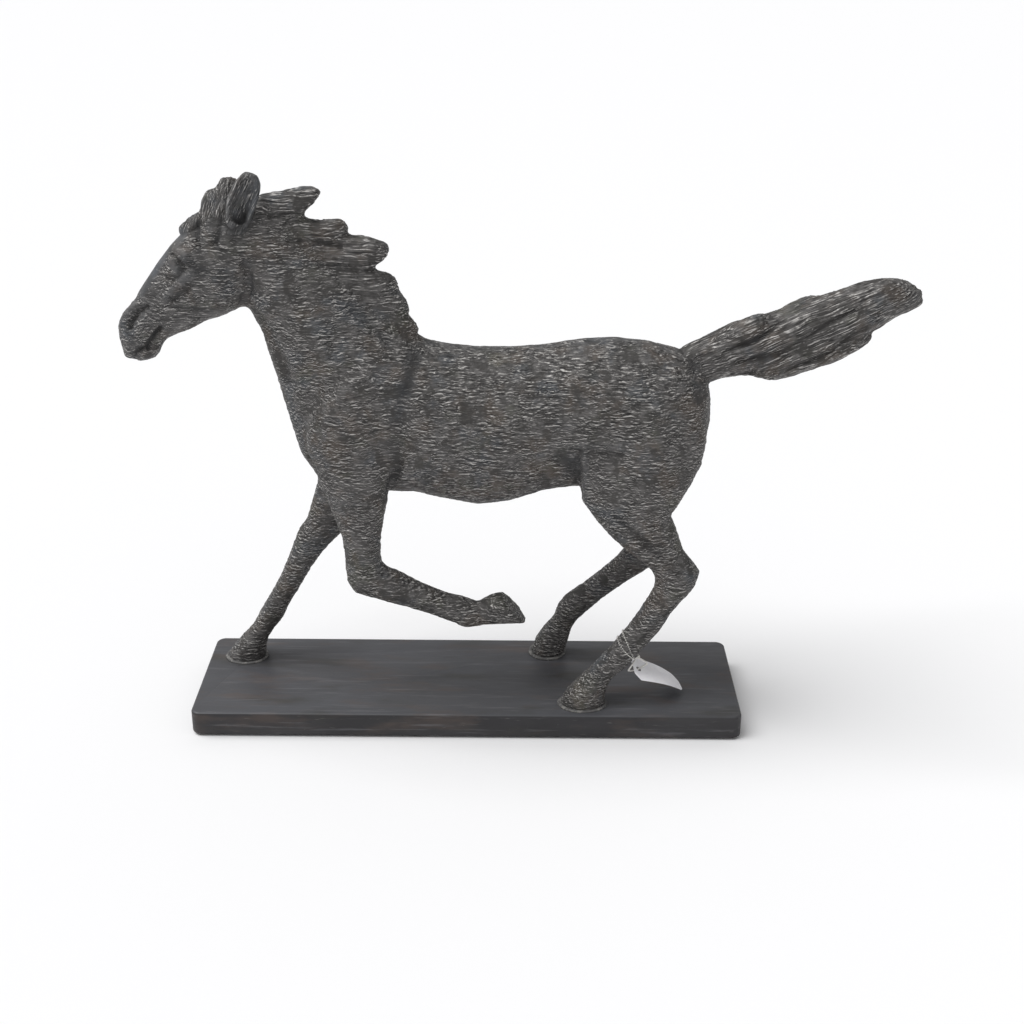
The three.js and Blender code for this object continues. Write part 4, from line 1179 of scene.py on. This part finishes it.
TAG_LENGTH = 48.0
TAG_WIDTH = 21.0
TAG_CORNER = 3.5
TAG_CLIP = 5.0  # of each corner at the string's end
EYELET_INSET = 5.5
EYELET_RADIUS = 2.2
EYELET_AT = Vector((125.53, -36.52, 46.81))
CARD = 0.45
TAG_GRID = 1.5
TAG_TWIST, TAG_MORE_TWIST = 8, 20  # degrees at the eyelet, and more by the far end
TAG_BOW = 2.6
TAG_DROOP = 2.2  # of the near edge, at the far end
TAG_SWING = 4.5  # towards the horse, at the far end


def tag_outline():
    """The card's edge: clipped corners at the eyelet and round ones at the far end."""
    near, far, half = -EYELET_INSET, TAG_LENGTH - EYELET_INSET, TAG_WIDTH / 2
    outline = [(near + TAG_CLIP, half), (near, half - TAG_CLIP)]
    outline += [(near, TAG_CLIP - half), (near + TAG_CLIP, -half)]
    for sign in (-1, 1):
        for i in range(5):
            angle = math.pi / 2 * (i / 4 - 1 if sign < 0 else i / 4)
            x, y = far - TAG_CORNER, sign * (half - TAG_CORNER)
            outline.append((x + TAG_CORNER * math.cos(angle), y + TAG_CORNER * math.sin(angle)))
    return outline


def tag_axes():
    """The card's axes, from its CAD solid: along it, across it and up from it."""
    points = np.array([vert.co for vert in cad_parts["swing_tag"].data.vertices]) / MM
    _, _, axes = np.linalg.svd(points - points.mean(axis=0))
    along, across = Vector(axes[0]), Vector(axes[1])
    if along.x < 0:
        along = -along
    if across.y < 0:
        across = -across
    return along, across, along.cross(across)


def make_tag(card):
    """A strung card that has curled with damp and hangs just clear of the plinth."""
    bm = bmesh.new()
    corners = [bm.verts.new((x, y, 0)) for x, y in tag_outline()]
    for a, b in zip(corners, corners[1:] + corners[:1]):
        bm.edges.new((a, b))
    bmesh.ops.create_circle(bm, segments=24, radius=EYELET_RADIUS)
    bmesh.ops.triangle_fill(bm, edges=bm.edges, use_beauty=True)
    for axis, first, last in ((0, -5, 42), (1, -10, 10)):
        for i in range(int((last - first) / TAG_GRID) + 1):
            there = Vector((0, 0, 0))
            there[axis] = first + i * TAG_GRID
            normal = Vector((0, 0, 0))
            normal[axis] = 1
            geometry = [*bm.verts, *bm.edges, *bm.faces]
            bmesh.ops.bisect_plane(bm, geom=geometry, plane_co=there, plane_no=normal)
    along, across, upwards = tag_axes()
    for vert in bm.verts:
        x, y, _ = vert.co
        share = max(0.0, x / (TAG_LENGTH - EYELET_INSET))
        twist = math.radians(TAG_TWIST + TAG_MORE_TWIST * share)
        leaning = across * math.cos(twist) - upwards * math.sin(twist)
        near_edge = max(0.0, -y / TAG_WIDTH * 2)
        rise = TAG_BOW * math.sin(math.pi * min(share, 1)) - TAG_DROOP * share**2 * near_edge
        swing = Vector((0, TAG_SWING * share**2, 0))
        vert.co = (EYELET_AT + along * x + leaning * y + upwards * rise + swing) * MM
    bmesh.ops.recalc_face_normals(bm, faces=bm.faces)
    tag = new_object("curled_tag", bm)
    solid = tag.modifiers.new("card", "SOLIDIFY")
    solid.thickness = CARD * MM
    solid.offset = 0
    applied(tag)
    set_smooth(tag)
    tag.data.set_sharp_from_angle(angle=math.radians(50))
    finish_piece(tag, card, "paper", "swing_tag")


place_camera()
light_the_studio()
castings = make_castings(sulphured_bronze())
make_base(waxed_plinth_bronze(), bedding_compound(), pressed_felt(), zinc_plate())
make_string(castings["left_hind_leg"], spun_cotton())
make_tag(tag_card())
